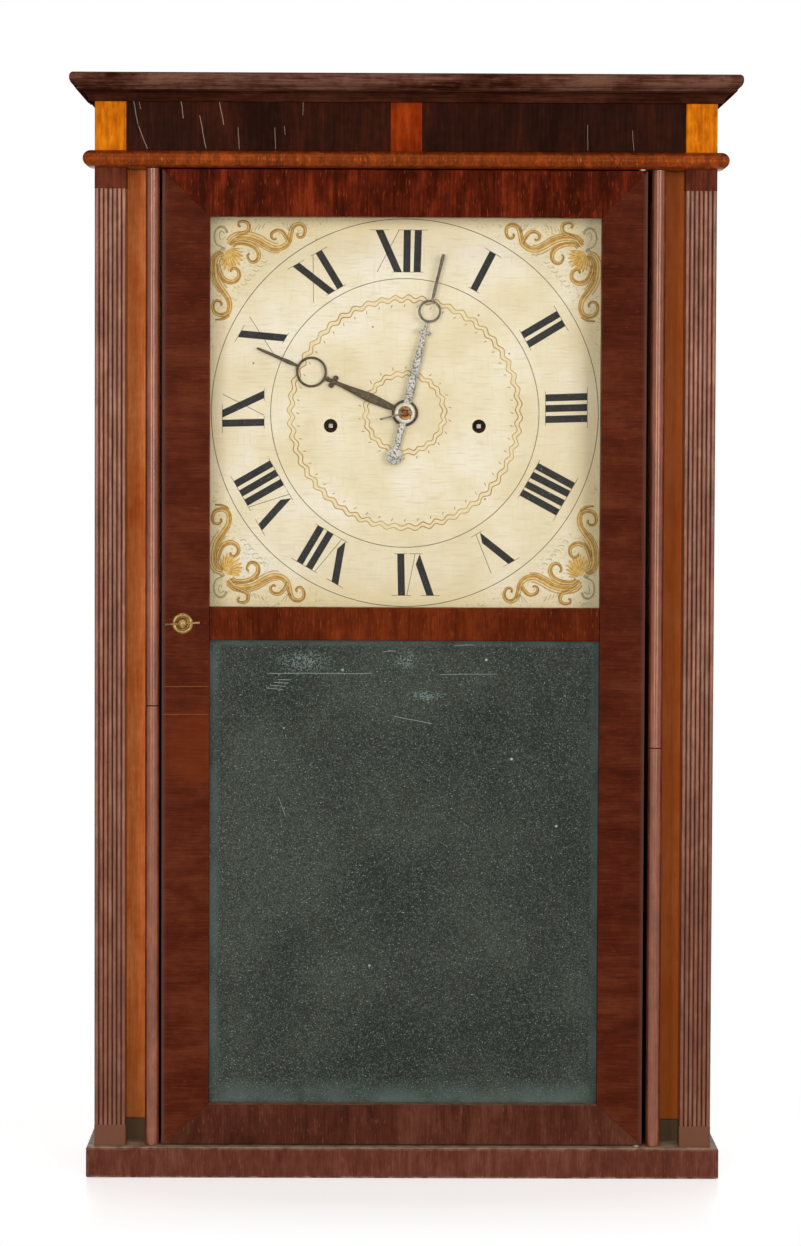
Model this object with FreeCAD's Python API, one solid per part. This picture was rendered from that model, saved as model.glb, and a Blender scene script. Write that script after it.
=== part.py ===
"""Column shelf clock: a veneered case with reeded pilasters, a glazed door and a wooden weight movement.

Millimetres. The origin is the bottom centre of the whole clock.
+X points to the viewer's right, -Y to the front, +Z up.
"""
import FreeCAD
import Part
import math
import os

V = FreeCAD.Vector

# Case: heights from the floor up
plinth_height = 24.0
opening_height = 767.0
astragal_height = 13.0
frieze_height = 38.0
cove_height = 8.6
cornice_height = 12.8

# Case: widths and depths
case_width = 485.0
case_depth = 128.0
plinth_side_step = 6.2
plinth_front_step = 7.0
plinth_edge_round = 1.6
astragal_step = 8.7
cornice_step = 18.6
cove_step = 4.5
cove_reach = 12.0
board_thickness = 10.0

# Front frame
pilaster_width = 24.5
pilaster_depth = 20.0
pilaster_block = 16.5
reed_count = 7
reed_depth = 1.1
recess_width = 15.0
recess_setback = 32.0
recess_panel_thickness = 6.0
recess_block_height = 16.7
recess_block_thickness = 3.0
jamb_width = 11.0
jamb_depth = 44.0
colonette_depth = 12.0
colonette_joint_left = 347.0
colonette_joint_right = 315.0
head_rail_depth = 18.0
frieze_block_width = 24.8
frieze_panel_thickness = 1.5

# Door
door_setback = 1.8
door_thickness = 20.0
door_gap_hinge = 3.3
door_gap_latch = 1.9
door_gap_top = 0.8
door_gap_bottom = 1.0
stile_left = 37.4
stile_right = 35.8
top_rail = 37.0
middle_rail = 26.0
bottom_rail = 32.0
dial_opening = 304.6
rail_tenon = 12.0
tenon_thickness = 5.0
rebate_width = 6.0
rebate_depth = 8.0
dial_glass_thickness = 2.0
mirror_thickness = 2.5
backing_thickness = 4.0
glazing_strip_width = 5.0
hinge_inset = 4.0
hinge_front_inset = 3.5
hinge_pin_radius = 2.0
hinge_pin_depth = 9.0
hinge_collar_radius = 3.2

# Latch
latch_inset = 16.5
rose_radius = 8.1
rose_thickness = 1.6
boss_radius = 3.9
boss_height = 5.0
spindle_radius = 1.8
latch_bar_length = 27.0
latch_bar_radius = 0.85
latch_bar_tilt = 3.4
catch_length = 15.0
catch_width = 6.0
catch_thickness = 3.0
catch_setback = 6.8
keeper_length = 9.0
keeper_width = 14.0

# Dial and hands
dial_setback = 38.0
dial_thickness = 5.0
dial_margin = 14.0
dial_side_gap = 1.0
cleat_size = 9.0
centre_hole_radius = 7.0
winding_hole_radius = 5.4
winding_spread = 58.6
winding_drop = 10.2
minute_hand_angle = 13.45
minute_hand_length = 129.0
minute_ring_place = 82.4
minute_ring_radius = 9.1
minute_tail_place = 35.2
minute_tail_radius = 6.5
hour_hand_angle = 293.5
hour_hand_length = 128.0
hour_ring_place = 80.5
hour_ring_radius = 12.2
hour_boss_radius = 10.5
hand_wire = 1.9
hand_thickness = 1.5
hand_spacing = 3.0
washer_radius = 8.2
washer_thickness = 1.8
hand_pin_length = 26.0
hand_pin_radius = 0.75
hand_pin_lean = 14.0

# Movement frame
plate_width = 240.0
plate_top = 100.0
plate_bottom = 78.0
plate_thickness = 6.0
plate_spacing = 36.0
motion_space = 13.25
pillar_radius = 5.5
pillar_inset = 10.0
rail_height = 20.0
running_gap = 0.1
clear_gap = 0.3
end_shake = 0.5

# Wheels: tooth counts and modules
great_teeth = 72
train_teeth = 72
pinion_leaves = 8
centre_module = 0.85
third_module = 0.8
escape_teeth = 40
escape_radius = 22.0
escape_tooth_depth = 2.8
strike_great_teeth = 78
strike_pinion_leaves = 6
strike_great_module = 1.25
pin_wheel_teeth = 60
pin_wheel_module = 0.85
hammer_pins = 6
cannon_leaves = 10
minute_wheel_teeth = 30
minute_leaves = 8
hour_wheel_teeth = 32
motion_module = 1.0
great_thickness = 6.0
wheel_thickness = 3.5
motion_thickness = 3.0
arbor_radius = 2.0
pivot_radius = 1.2
winding_arbor_radius = 5.0
winding_square = 4.4
square_setback = 1.5
square_length = 10.0
drum_radius = 22.0
drum_flange = 24.5
drum_flange_thickness = 3.0
drum_length = 19.0
drum_pivot_radius = 3.0
cannon_radius = 3.2
hour_pipe_radius = 4.8
third_angle = 69.3
pallet_half_angle = 42.75
pendulum_offset = 14.0

# Pendulum
pendulum_length = 307.0
pendulum_swing = 3.0
rod_radius = 1.0
bob_radius = 32.0
bob_half_thickness = 6.5
spring_width = 5.0
spring_thickness = 0.3
spring_drop = 8.0
spring_grip = 2.0
spring_rise = 4.0
ferrule_width = 3.6
ferrule_length = 8.0
nut_height = 6.0
nut_radius = 4.0
thread_length = 8.0
rod_setback = 2.5
crutch_length = 45.0

# Strike work and weights
pin_arbor_angle = 100.0
fly_angle = 60.0
fly_radius = 13.0
fly_length = 10.0
fly_thickness = 1.6
hammer_pin_radius = 0.8
tail_gap = 0.7
hammer_wire_radius = 1.2
hammer_head_length = 14.0
hammer_head_radius = 5.0
hammer_gap = 1.5
hammer_arbor_x = -88.0
hammer_arbor_z = 78.0
bell_x = -45.0
bell_z = 133.0
bell_radius = 30.0
bell_wall = 2.0
bell_depth = 24.0
bell_setback = 4.0
bell_post_radius = 5.0
weight_width = 24.0
weight_depth = 60.0
weight_height = 150.0
weight_ring = 8.0
weight_wire = 1.8
pulley_radius = 12.0
pulley_groove = 2.0
pulley_width = 8.0
pulley_drop = 30.0
pulley_axle = 2.5
cheek_thickness = 3.0
cheek_width = 14.0

# Places worked out from the sizes above
total_depth = case_depth + cornice_step
y_back = total_depth / 2
y_front = y_back - case_depth
half_case = case_width / 2
z_head = plinth_height + opening_height
z_frieze = z_head + astragal_height
z_cove = z_frieze + frieze_height
z_cornice = z_cove + cove_height
z_top = z_cornice + cornice_height
y_frame_back = y_front + pilaster_depth
y_recess = y_front + recess_setback
x_pilaster = half_case - pilaster_width
x_jamb_outer = x_pilaster - recess_width
x_jamb_inner = x_jamb_outer - jamb_width
x_side_inner = half_case - board_thickness
y_back_board = y_back - board_thickness
y_jamb_front = y_front + colonette_depth
y_jamb_back = y_jamb_front + jamb_depth

door_left = -x_jamb_inner + door_gap_latch
door_right = x_jamb_inner - door_gap_hinge
door_bottom = plinth_height + door_gap_bottom
door_top = z_head - door_gap_top
y_door = y_front + door_setback
y_door_back = y_door + door_thickness
glass_left = door_left + stile_left
glass_right = door_right - stile_right
dial_high = door_top - top_rail
dial_low = dial_high - dial_opening
mirror_high = dial_low - middle_rail
mirror_low = door_bottom + bottom_rail
y_rebate = y_door_back - rebate_depth
hinge_x = door_right - hinge_inset
hinge_y = y_door + hinge_front_inset
latch_x = door_left + latch_inset
latch_z = (dial_low + mirror_high) / 2

centre_z = (dial_high + dial_low) / 2
y_dial = y_front + dial_setback
y_dial_back = y_dial + dial_thickness
y_front_plate = y_dial_back + motion_space
y_inner_front = y_front_plate + plate_thickness
y_inner_back = y_inner_front + plate_spacing
y_plates_back = y_inner_back + plate_thickness
hour_hand_y = y_dial - hand_spacing - hand_thickness
minute_hand_y = hour_hand_y - hand_spacing - hand_thickness
washer_y = minute_hand_y - washer_thickness
pin_y = washer_y - 2 * hand_pin_radius
arbor_end_y = pin_y - 2 * hand_pin_radius
weight_x = (x_jamb_outer + x_side_inner) / 2
weight_y = (y_recess + recess_panel_thickness + y_back_board) / 2

# Layers of the movement, from the front plate back
motion_y = y_front_plate - 0.5 - motion_thickness
hour_wheel_y = motion_y - 1.0 - motion_thickness
rod_y = hour_wheel_y - rod_setback
escape_y = y_inner_front + 1.5
third_y = escape_y + wheel_thickness + 1.0
centre_y = third_y + wheel_thickness + 2.5
great_y = y_inner_back - 3.0 - great_thickness
drum_y = great_y - 1.0 - drum_length
pin_wheel_y = great_y - 4.5 - wheel_thickness
hammer_y = pin_wheel_y - 2.3
hammer_head_y = hammer_y - 4.0
fly_y = escape_y + 1.5
leaf_overlap = 0.5
pin_reach = 4.0

# Wheel tooth and pinion leaf, in modules: tip height, root depth, width at the root and at the tip
wheel_tooth = (0.95, 1.35, 1.75, 0.65)
pinion_leaf = (0.75, 1.35, 0.9, 0.72)


def polar(centre, radius, degrees):
    """The point at a radius and an angle from +X towards +Z about a centre."""
    a = math.radians(degrees)
    return centre[0] + radius * math.cos(a), centre[1] + radius * math.sin(a)


def bearing(a, b):
    """The angle of the line from a to b, in degrees."""
    return math.degrees(math.atan2(b[1] - a[1], b[0] - a[0]))


# Arbor centres, as x and height above the hand centre
centre = (0.0, 0.0)
time_drum_at = (winding_spread, -winding_drop)
strike_drum_at = (-winding_spread, -winding_drop)
great_reach = math.dist(centre, time_drum_at)
great_module = 2 * great_reach / (great_teeth + pinion_leaves)
centre_reach = centre_module * (train_teeth + pinion_leaves) / 2
third_reach = third_module * (train_teeth + pinion_leaves) / 2
third_at = polar(centre, centre_reach, third_angle)
escape_x = -pendulum_offset
escape_at = (escape_x, third_at[1] + math.sqrt(third_reach ** 2 - (third_at[0] - escape_x) ** 2))
verge_at = (escape_x, escape_at[1] + escape_radius / math.cos(math.radians(pallet_half_angle)))
minute_wheel_at = polar(centre, motion_module * (cannon_leaves + minute_wheel_teeth) / 2, -45)
strike_reach = strike_great_module * (strike_great_teeth + strike_pinion_leaves) / 2
pin_wheel_at = polar(strike_drum_at, strike_reach, pin_arbor_angle)
fly_at = polar(pin_wheel_at, pin_wheel_module * (pin_wheel_teeth + pinion_leaves) / 2, fly_angle)
hammer_at = (hammer_arbor_x, hammer_arbor_z)
bell_at = (bell_x, bell_z)


def box(x0, x1, y0, y1, z0, z1):
    """A block between two opposite corners."""
    return Part.makeBox(x1 - x0, y1 - y0, z1 - z0, V(x0, y0, z0))


def rod(start, end, radius):
    """A round bar between two points."""
    run = end - start
    return Part.makeCylinder(radius, run.Length, start, run)


def arbor(at, radius, y0, y1):
    """A round bar along Y at an arbor centre."""
    return rod(V(at[0], y0, centre_z + at[1]), V(at[0], y1, centre_z + at[1]), radius)


def prism(points, y0, y1):
    """An outline of (x, z) points, run from y0 back to y1."""
    corners = [V(x, y0, z) for x, z in points]
    return Part.Face(Part.makePolygon(corners + corners[:1])).extrude(V(0, y1 - y0, 0))


def turned(points, at, axis):
    """A closed (radius, distance) outline turned about an axis through a point."""
    side = V(1, 0, 0) if abs(axis.x) < 0.5 else V(0, 1, 0)
    corners = [at + side * r + axis * d for r, d in points]
    return Part.Face(Part.makePolygon(corners + corners[:1])).revolve(at, axis, 360)


def fused(first, *others):
    """Several overlapping shapes as one solid."""
    return first.fuse(list(others)).removeSplitter()


def mirrored(shape):
    """The left-hand twin of a right-hand shape."""
    return shape.mirror(V(0, 0, 0), V(1, 0, 0))


def save(name, *solids):
    """Write the solids of one node."""
    shape = solids[0] if len(solids) == 1 else Part.makeCompound(solids)
    shape.exportStep("parts/" + name + ".step")


def gear(at, y0, y1, teeth, module, tooth, phase):
    """Straight-flanked teeth round an arbor centre, with one tooth at the phase angle."""
    tip, root, root_width, tip_width = tooth
    low = module * (teeth / 2 - root)
    high = module * (teeth / 2 + tip)
    outline = []
    for i in range(teeth):
        for radius, width in ((low, -root_width), (high, -tip_width), (high, tip_width), (low, root_width)):
            lean = math.degrees(math.asin(width * module / 2 / radius))
            outline.append(polar((at[0], centre_z + at[1]), radius, phase + 360 * i / teeth + lean))
    return prism(outline, y0, y1)


def wheel(at, towards, y0, thickness, teeth, module, bore):
    """A toothed wheel with a bore and a tooth on the line to the arbor that it meshes with."""
    disc = gear(at, y0, y0 + thickness, teeth, module, wheel_tooth, bearing(at, towards))
    return disc.cut(arbor(at, bore, y0, y0 + thickness))


def pinion(at, driver, y0, thickness, leaves, module):
    """Pinion leaves with a gap on the line to the wheel that they mesh with."""
    return gear(at, y0 - leaf_overlap, y0 + thickness + leaf_overlap, leaves, module, pinion_leaf,
                bearing(at, driver) + 180 / leaves)


def pivoted(at, radius):
    """An arbor between the plates with a smaller pivot into each plate."""
    body = arbor(at, radius, y_inner_front + end_shake, y_inner_back - end_shake)
    return fused(body, arbor(at, pivot_radius, y_inner_front - plate_thickness, y_plates_back))


def edge_moulding(profile, width, y_edge):
    """A board whose front and ends carry one profile of (overhang, z), with mitred corners."""
    def run(along_x):
        edges = []
        for piece in profile:
            if along_x:
                ends = [V(-half_case - cornice_step, y_edge - d, z) for d, z in piece]
            else:
                ends = [V(width / 2 + d, y_edge - cornice_step, z) for d, z in piece]
            edges.append(Part.LineSegment(*ends) if len(ends) == 2 else Part.Arc(*ends))
        first, last = profile[0][0], profile[-1][-1]
        if along_x:
            back = [V(-half_case - cornice_step, y_back, z) for z in (last[1], first[1])]
            ends = [V(-half_case - cornice_step, y_edge - d, z) for d, z in (last, first)]
            length = V(case_width + 2 * cornice_step, 0, 0)
        else:
            back = [V(0, y_edge - cornice_step, z) for z in (last[1], first[1])]
            ends = [V(width / 2 + d, y_edge - cornice_step, z) for d, z in (last, first)]
            length = V(0, y_back - y_edge + cornice_step, 0)
        lines = [Part.LineSegment(ends[0], back[0]), Part.LineSegment(back[0], back[1]),
                 Part.LineSegment(back[1], ends[1])]
        return Part.Face(Part.Wire([e.toShape() for e in edges + lines])).extrude(length)
    side = run(False)
    return run(True).common(fused(side, mirrored(side)))


def three_runs(board, y_edge):
    """Cut a moulded board into a front run and two returns, mitred at the corners, outside the case."""
    high, low = z_top + 1, 0
    far = cornice_step + 1
    corner = [V(half_case, y_edge, low), V(half_case + far, y_edge - far, low)]
    start = V(-half_case, y_edge, low)
    outline = [start, V(-half_case - far, y_edge - far, low), corner[1], corner[0], start]
    front = Part.Face(Part.makePolygon(outline)).extrude(V(0, 0, high))
    side = Part.Face(Part.makePolygon([corner[0], corner[1], V(half_case + far, y_back, low),
                                       V(half_case, y_back, low), corner[0]])).extrude(V(0, 0, high))
    right = board.common(side)
    return board.common(front), right, mirrored(right)


def plinth():
    block = box(-half_case - plinth_side_step, half_case + plinth_side_step,
                y_front - plinth_front_step, y_back, 0, plinth_height)
    edges = [e for e in block.Edges
             if e.BoundBox.ZMin > plinth_height - 0.01 and e.BoundBox.YMin < y_back - 0.01]
    hole_floor = V(hinge_x, hinge_y, plinth_height - hinge_pin_depth)
    pin_hole = rod(hole_floor, V(hinge_x, hinge_y, z_top), hinge_pin_radius)
    save("plinth_board", block.makeFillet(plinth_edge_round, edges).cut(pin_hole))


def case_boards():
    right = box(x_side_inner, half_case, y_frame_back, y_back, plinth_height, z_cornice)
    save("side_boards", right, mirrored(right))
    rails = [box(-plate_width / 2, plate_width / 2, y_plates_back, y_back_board, z, z + rail_height)
             for z in (centre_z + plate_top - rail_height, centre_z - plate_bottom)]
    board = box(-x_side_inner, x_side_inner, y_back_board, y_back, plinth_height, z_cornice)
    save("back_board", board, *rails)
    y_rail_back = y_frame_back + head_rail_depth
    save("head_rail", box(-x_side_inner, x_side_inner, y_frame_back, y_rail_back, z_head, z_frieze))


def pilasters():
    """Seven reeds between a plain cap and a plain base block, all in one length of wood."""
    pitch = pilaster_width / reed_count
    back, valley = y_front + pilaster_depth, y_front + reed_depth
    edges = []
    for i in range(reed_count):
        x = x_pilaster + i * pitch
        edges.append(Part.Arc(V(x, valley, 0), V(x + pitch / 2, y_front, 0), V(x + pitch, valley, 0)))
    edges += [Part.LineSegment(V(half_case, valley, 0), V(half_case, back, 0)),
              Part.LineSegment(V(half_case, back, 0), V(x_pilaster, back, 0)),
              Part.LineSegment(V(x_pilaster, back, 0), V(x_pilaster, valley, 0))]
    shaft = Part.Face(Part.Wire([e.toShape() for e in edges])).extrude(V(0, 0, opening_height))
    shaft.translate(V(0, 0, plinth_height))
    blocks = [box(x_pilaster, half_case, y_front, back, z, z + pilaster_block)
              for z in (plinth_height, z_head - pilaster_block)]
    right = fused(shaft, *blocks)
    save("pilasters", right, mirrored(right))


def recesses():
    """The set-back strips between pilasters and jambs, each with a plain block at its foot."""
    y_panel_back = y_recess + recess_panel_thickness
    panel = box(x_jamb_outer, x_side_inner, y_recess, y_panel_back, plinth_height, z_head)
    block = box(x_jamb_outer, x_side_inner, y_recess - recess_block_thickness, y_recess,
                plinth_height, plinth_height + recess_block_height)
    save("recess_panels", panel, block, mirrored(panel), mirrored(block))


def jambs():
    right = box(x_jamb_inner, x_jamb_outer, y_jamb_front, y_jamb_back, plinth_height, z_head)
    cleat = box(x_jamb_inner - cleat_size, x_jamb_inner, y_dial_back, y_dial_back + cleat_size,
                dial_low - dial_margin, dial_high + dial_margin)
    save("jambs", right, cleat, mirrored(right), mirrored(cleat))


def colonettes():
    """Slim half-round columns on the jambs' front edges, each in an upper and a lower length."""
    nose = jamb_width / 2
    outline = [Part.Arc(V(x_jamb_inner, y_front + nose, 0), V(x_jamb_inner + nose, y_front, 0),
                        V(x_jamb_outer, y_front + nose, 0)),
               Part.LineSegment(V(x_jamb_outer, y_front + nose, 0), V(x_jamb_outer, y_jamb_front, 0)),
               Part.LineSegment(V(x_jamb_outer, y_jamb_front, 0), V(x_jamb_inner, y_jamb_front, 0)),
               Part.LineSegment(V(x_jamb_inner, y_jamb_front, 0), V(x_jamb_inner, y_front + nose, 0))]
    section = Part.Face(Part.Wire([e.toShape() for e in outline]))

    def lengths(joint):
        section.Placement.Base = V(0, 0, plinth_height)
        lower = section.extrude(V(0, 0, joint))
        section.Placement.Base = V(0, 0, plinth_height + joint)
        return lower, section.extrude(V(0, 0, opening_height - joint))
    save("colonettes", *lengths(colonette_joint_right), *[mirrored(s) for s in lengths(colonette_joint_left)])


def astragal():
    """The half-round bar above the door, with a short return at each end."""
    middle = z_head + astragal_height / 2
    nose = astragal_height / 2
    profile = [[(0, z_head), (astragal_step - nose, z_head)],
               [(astragal_step - nose, z_head), (astragal_step, middle), (astragal_step - nose, z_frieze)],
               [(astragal_step - nose, z_frieze), (0, z_frieze)]]
    front, right, left = three_runs(edge_moulding(profile, case_width, y_front), y_front)
    bar = fused(front, box(-half_case, half_case, y_front, y_frame_back, z_head, z_frieze))
    hole = rod(V(hinge_x, hinge_y, z_head), V(hinge_x, hinge_y, z_head + hinge_pin_depth), hinge_pin_radius)
    beside = box(-half_case - cornice_step, half_case + cornice_step, y_front - cornice_step, y_frame_back,
                 z_head, z_frieze)
    save("astragal", fused(bar, right.common(beside), left.common(beside)).cut(hole))


def frieze():
    inner = half_case - frieze_block_width
    y_core = y_front + frieze_panel_thickness
    block = box(inner, half_case, y_front, y_frame_back, z_frieze, z_cornice)
    save("frieze_end_blocks", block, mirrored(block))
    save("frieze_board", box(-inner, inner, y_core, y_frame_back, z_frieze, z_cornice))
    middle = frieze_block_width / 2
    panel = box(middle, inner, y_front, y_core, z_frieze, z_cornice)
    save("frieze_panels", panel, mirrored(panel))
    save("frieze_centre_block", box(-middle, middle, y_front, y_core, z_frieze, z_cornice))


def cornice():
    """A round-nosed top board with a quirk under its nose, over a cove round the front and both sides."""
    quirk = z_cornice + 0.26 * cornice_height
    foot, neck, lip = 0.66 * cornice_step, 0.8 * cornice_step, 0.9 * cornice_step
    board = [[(0, z_cornice), (foot, z_cornice)],
             [(foot, z_cornice), (0.98 * foot + 0.02 * neck, 0.5 * (z_cornice + quirk)), (neck, quirk)],
             [(neck, quirk), (lip, quirk)],
             [(lip, quirk), (cornice_step, 0.5 * (quirk + z_top)), (0.93 * cornice_step, z_top)],
             [(0.93 * cornice_step, z_top), (0, z_top)]]
    save("cornice_board", edge_moulding(board, case_width, y_front))
    lip = z_cornice - 0.14 * cove_height
    hollow = 0.93 * cove_reach
    cove = [[(0, z_cove), (cove_step, z_cove)],
            [(cove_step, z_cove), (cove_step + 0.27 * (hollow - cove_step), z_cove + 0.62 * (lip - z_cove)),
             (hollow, lip)],
            [(hollow, lip), (cove_reach, lip)],
            [(cove_reach, lip), (cove_reach, z_cornice)],
            [(cove_reach, z_cornice), (0, z_cornice)]]
    save("cove_moulding", *three_runs(edge_moulding(cove, case_width, y_front), y_front))


def door_frame():
    """Mitred stiles and rails rebated behind for the glass, and a middle rail tenoned into the stiles."""
    def member(points):
        return prism(points, y_door, y_door_back)
    outer = [(door_left, door_bottom), (door_right, door_bottom),
             (door_right, door_top), (door_left, door_top)]
    inner = [(glass_left, mirror_low), (glass_right, mirror_low),
             (glass_right, dial_high), (glass_left, dial_high)]
    names = ("door_bottom_rail", "door_stile_right", "door_top_rail", "door_stile_left")
    windows = [box(glass_left - rebate_width, glass_right + rebate_width, y_rebate, y_door_back,
                   low - rebate_width, high + rebate_width)
               for low, high in ((mirror_low, mirror_high), (dial_low, dial_high))]
    rail_middle = box(glass_left, glass_right, y_door, y_door_back, mirror_high, dial_low)
    tenon_low = mirror_high + rebate_width
    tenon_high = dial_low - rebate_width
    y_tenon = y_door + (door_thickness - rebate_depth - tenon_thickness) / 2
    tenon = box(glass_left - rail_tenon, glass_right + rail_tenon, y_tenon, y_tenon + tenon_thickness,
                tenon_low, tenon_high)
    pin_holes = rod(V(hinge_x, hinge_y, door_bottom), V(hinge_x, hinge_y, door_top),
                    hinge_pin_radius + running_gap)
    solid_stile = box(0, half_case, y_door, y_door_back,
                      door_bottom + hinge_pin_depth, door_top - hinge_pin_depth)
    latch_hole = arbor((latch_x, latch_z - centre_z), spindle_radius + running_gap, y_door, y_door_back)
    for i, name in enumerate(names):
        j = (i + 1) % 4
        piece = member([outer[i], outer[j], inner[j], inner[i]])
        piece = piece.cut(windows).cut(tenon)
        if name in ("door_stile_right", "door_bottom_rail", "door_top_rail"):
            piece = piece.cut(pin_holes.cut(solid_stile))
        if name == "door_stile_left":
            piece = piece.cut(latch_hole)
        save(name, piece)
    save("door_middle_rail", fused(rail_middle.cut(windows), tenon))


def hinge():
    """Two fixed pins, in the plinth and in the astragal, that the door turns on."""
    pins = []
    for z_fixed, z_door, way in ((plinth_height, door_bottom, 1), (z_head, door_top, -1)):
        start = V(hinge_x, hinge_y, z_fixed - way * hinge_pin_depth)
        end = V(hinge_x, hinge_y, z_door + way * (hinge_pin_depth - clear_gap))
        collar = rod(V(hinge_x, hinge_y, z_fixed), V(hinge_x, hinge_y, z_door - way * running_gap),
                     hinge_collar_radius)
        pins.append(fused(rod(start, end, hinge_pin_radius), collar))
    save("hinge_pins", *pins)


def door_glass():
    x0, x1 = glass_left - rebate_width, glass_right + rebate_width
    low, high = dial_low - rebate_width, dial_high + rebate_width
    y_strip = y_rebate + dial_glass_thickness
    save("dial_glass", box(x0, x1, y_rebate, y_strip, low, high))
    w = glazing_strip_width
    strips = [box(x0, x0 + w, y_strip, y_door_back, low, high),
              box(x1 - w, x1, y_strip, y_door_back, low, high),
              box(x0 + w, x1 - w, y_strip, y_door_back, low, low + w),
              box(x0 + w, x1 - w, y_strip, y_door_back, high - w, high)]
    save("dial_glazing_strips", *strips)
    low, high = mirror_low - rebate_width, mirror_high + rebate_width
    y_backing = y_rebate + mirror_thickness
    save("mirror_glass", box(x0, x1, y_rebate, y_backing, low, high))
    save("mirror_backing", box(x0, x1, y_backing, y_backing + backing_thickness, low, high))


def latch():
    """A brass rose and turning knob with a cross bar, and the catch and keeper behind the door."""
    at = (latch_x, latch_z - centre_z)
    spot = V(latch_x, y_door, latch_z)
    ring = turned([(boss_radius + clear_gap, 0), (rose_radius, 0), (rose_radius, 0.5 * rose_thickness),
                   (0.8 * rose_radius, rose_thickness), (0.65 * rose_radius, rose_thickness),
                   (boss_radius + clear_gap, 0.5 * rose_thickness)], spot, V(0, -1, 0))
    save("latch_rose", ring)
    y_catch = y_door_back + catch_setback - clear_gap - catch_thickness
    boss = turned([(0, clear_gap), (boss_radius, clear_gap), (boss_radius, 0.6 * boss_height),
                   (0.75 * boss_radius, 0.92 * boss_height), (0.4 * boss_radius, boss_height),
                   (0, boss_height)],
                  spot, V(0, -1, 0))
    lean = math.radians(latch_bar_tilt)
    half = V(math.cos(lean), 0, math.sin(lean)) * (latch_bar_length / 2)
    middle = spot + V(0, -0.55 * boss_height, 0)
    bar = rod(middle - half, middle + half, latch_bar_radius)
    spindle = arbor(at, spindle_radius, y_door - boss_height / 2, y_catch + catch_thickness)
    save("latch_knob", fused(boss, bar, spindle))
    arm = box(latch_x - catch_width / 2, latch_x + catch_width / 2, y_catch, y_catch + catch_thickness,
              latch_z - catch_width / 2, latch_z + catch_length)
    save("latch_catch", arm.cut(spindle))
    keeper = box(-x_jamb_inner, -x_jamb_inner + keeper_length, y_door_back + clear_gap, y_catch - clear_gap,
                 latch_z - keeper_width / 2, latch_z + keeper_width / 2)
    save("latch_keeper", keeper)


def dial():
    half = x_jamb_inner - dial_side_gap
    board = box(-half, half, y_dial, y_dial_back, dial_low - dial_margin, dial_high + dial_margin)
    holes = [arbor(centre, centre_hole_radius, y_dial, y_dial_back)]
    holes += [arbor(at, winding_hole_radius, y_dial, y_dial_back) for at in (time_drum_at, strike_drum_at)]
    save("dial_board", board.cut(holes))


def hand_blade(stations, y0):
    """A flat upright hand about the centre, from (half width, distance) stations."""
    outline = [(w, centre_z + d) for w, d in stations] + [(-w, centre_z + d) for w, d in reversed(stations)]
    return prism(outline, y0, y0 + hand_thickness)


def hand_ring(place, radius, y0):
    at = (0.0, place)
    return arbor(at, radius, y0, y0 + hand_thickness), arbor(at, radius - hand_wire, y0, y0 + hand_thickness)


def set_hand(shape, degrees):
    shape.rotate(V(0, 0, centre_z), V(0, 1, 0), degrees)
    return shape


def hands():
    """The hour and minute hands with pierced rings, the washer that holds them and its pin."""
    ring, hole = hand_ring(hour_ring_place, hour_ring_radius, hour_hand_y)
    low, high = hour_ring_place - hour_ring_radius, hour_ring_place + hour_ring_radius
    blade = hand_blade([(1.6, hour_boss_radius - 1), (3.6, 0.55 * low), (1.5, low - 9), (5.2, low - 7.6),
                        (5.2, low - 5.4), (1.3, low - 4), (1.3, low + 1)], hour_hand_y)
    point = hand_blade([(1.2, high - 1), (2.2, high + 7), (1.0, high + 10), (0.4, hour_hand_length)],
                       hour_hand_y)
    boss = arbor(centre, hour_boss_radius, hour_hand_y, hour_hand_y + hand_thickness)
    hour = fused(ring, blade, point, boss).cut([hole, arbor(centre, hour_pipe_radius, y_door, y_dial)])
    save("hour_hand", set_hand(hour, hour_hand_angle))
    ring, hole = hand_ring(minute_ring_place, minute_ring_radius, minute_hand_y)
    low, high = minute_ring_place - minute_ring_radius, minute_ring_place + minute_ring_radius
    blade = hand_blade([(2.6, -minute_tail_place), (3.5, 0), (2.4, 0.7 * low), (1.4, low - 12),
                        (5.3, low - 9.6), (5.3, low - 8), (1.3, low - 5.6), (1.3, low + 1)], minute_hand_y)
    point = hand_blade([(1.2, high - 1), (1.9, high + 8), (0.9, high + 11), (0.4, minute_hand_length)],
                       minute_hand_y)
    tail = arbor((0.0, -minute_tail_place), minute_tail_radius, minute_hand_y, minute_hand_y + hand_thickness)
    boss = arbor(centre, washer_radius, minute_hand_y, minute_hand_y + hand_thickness)
    minute = fused(ring, blade, point, tail, boss).cut([hole, arbor(centre, cannon_radius, y_door, y_dial)])
    save("minute_hand", set_hand(minute, minute_hand_angle))
    washer = turned([(arbor_radius, 0), (washer_radius, 0), (0.85 * washer_radius, 0.7 * washer_thickness),
                     (arbor_radius, washer_thickness)], V(0, minute_hand_y, centre_z), V(0, -1, 0))
    save("hand_washer", washer)
    lean = math.radians(hand_pin_lean)
    along = V(math.cos(lean), 0, math.sin(lean)) * hand_pin_length
    middle = V(0, pin_y, centre_z)
    pin = rod(middle - along * 0.78, middle + along * 0.22, hand_pin_radius)
    save("hand_pin", pin)
    return pin


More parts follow.
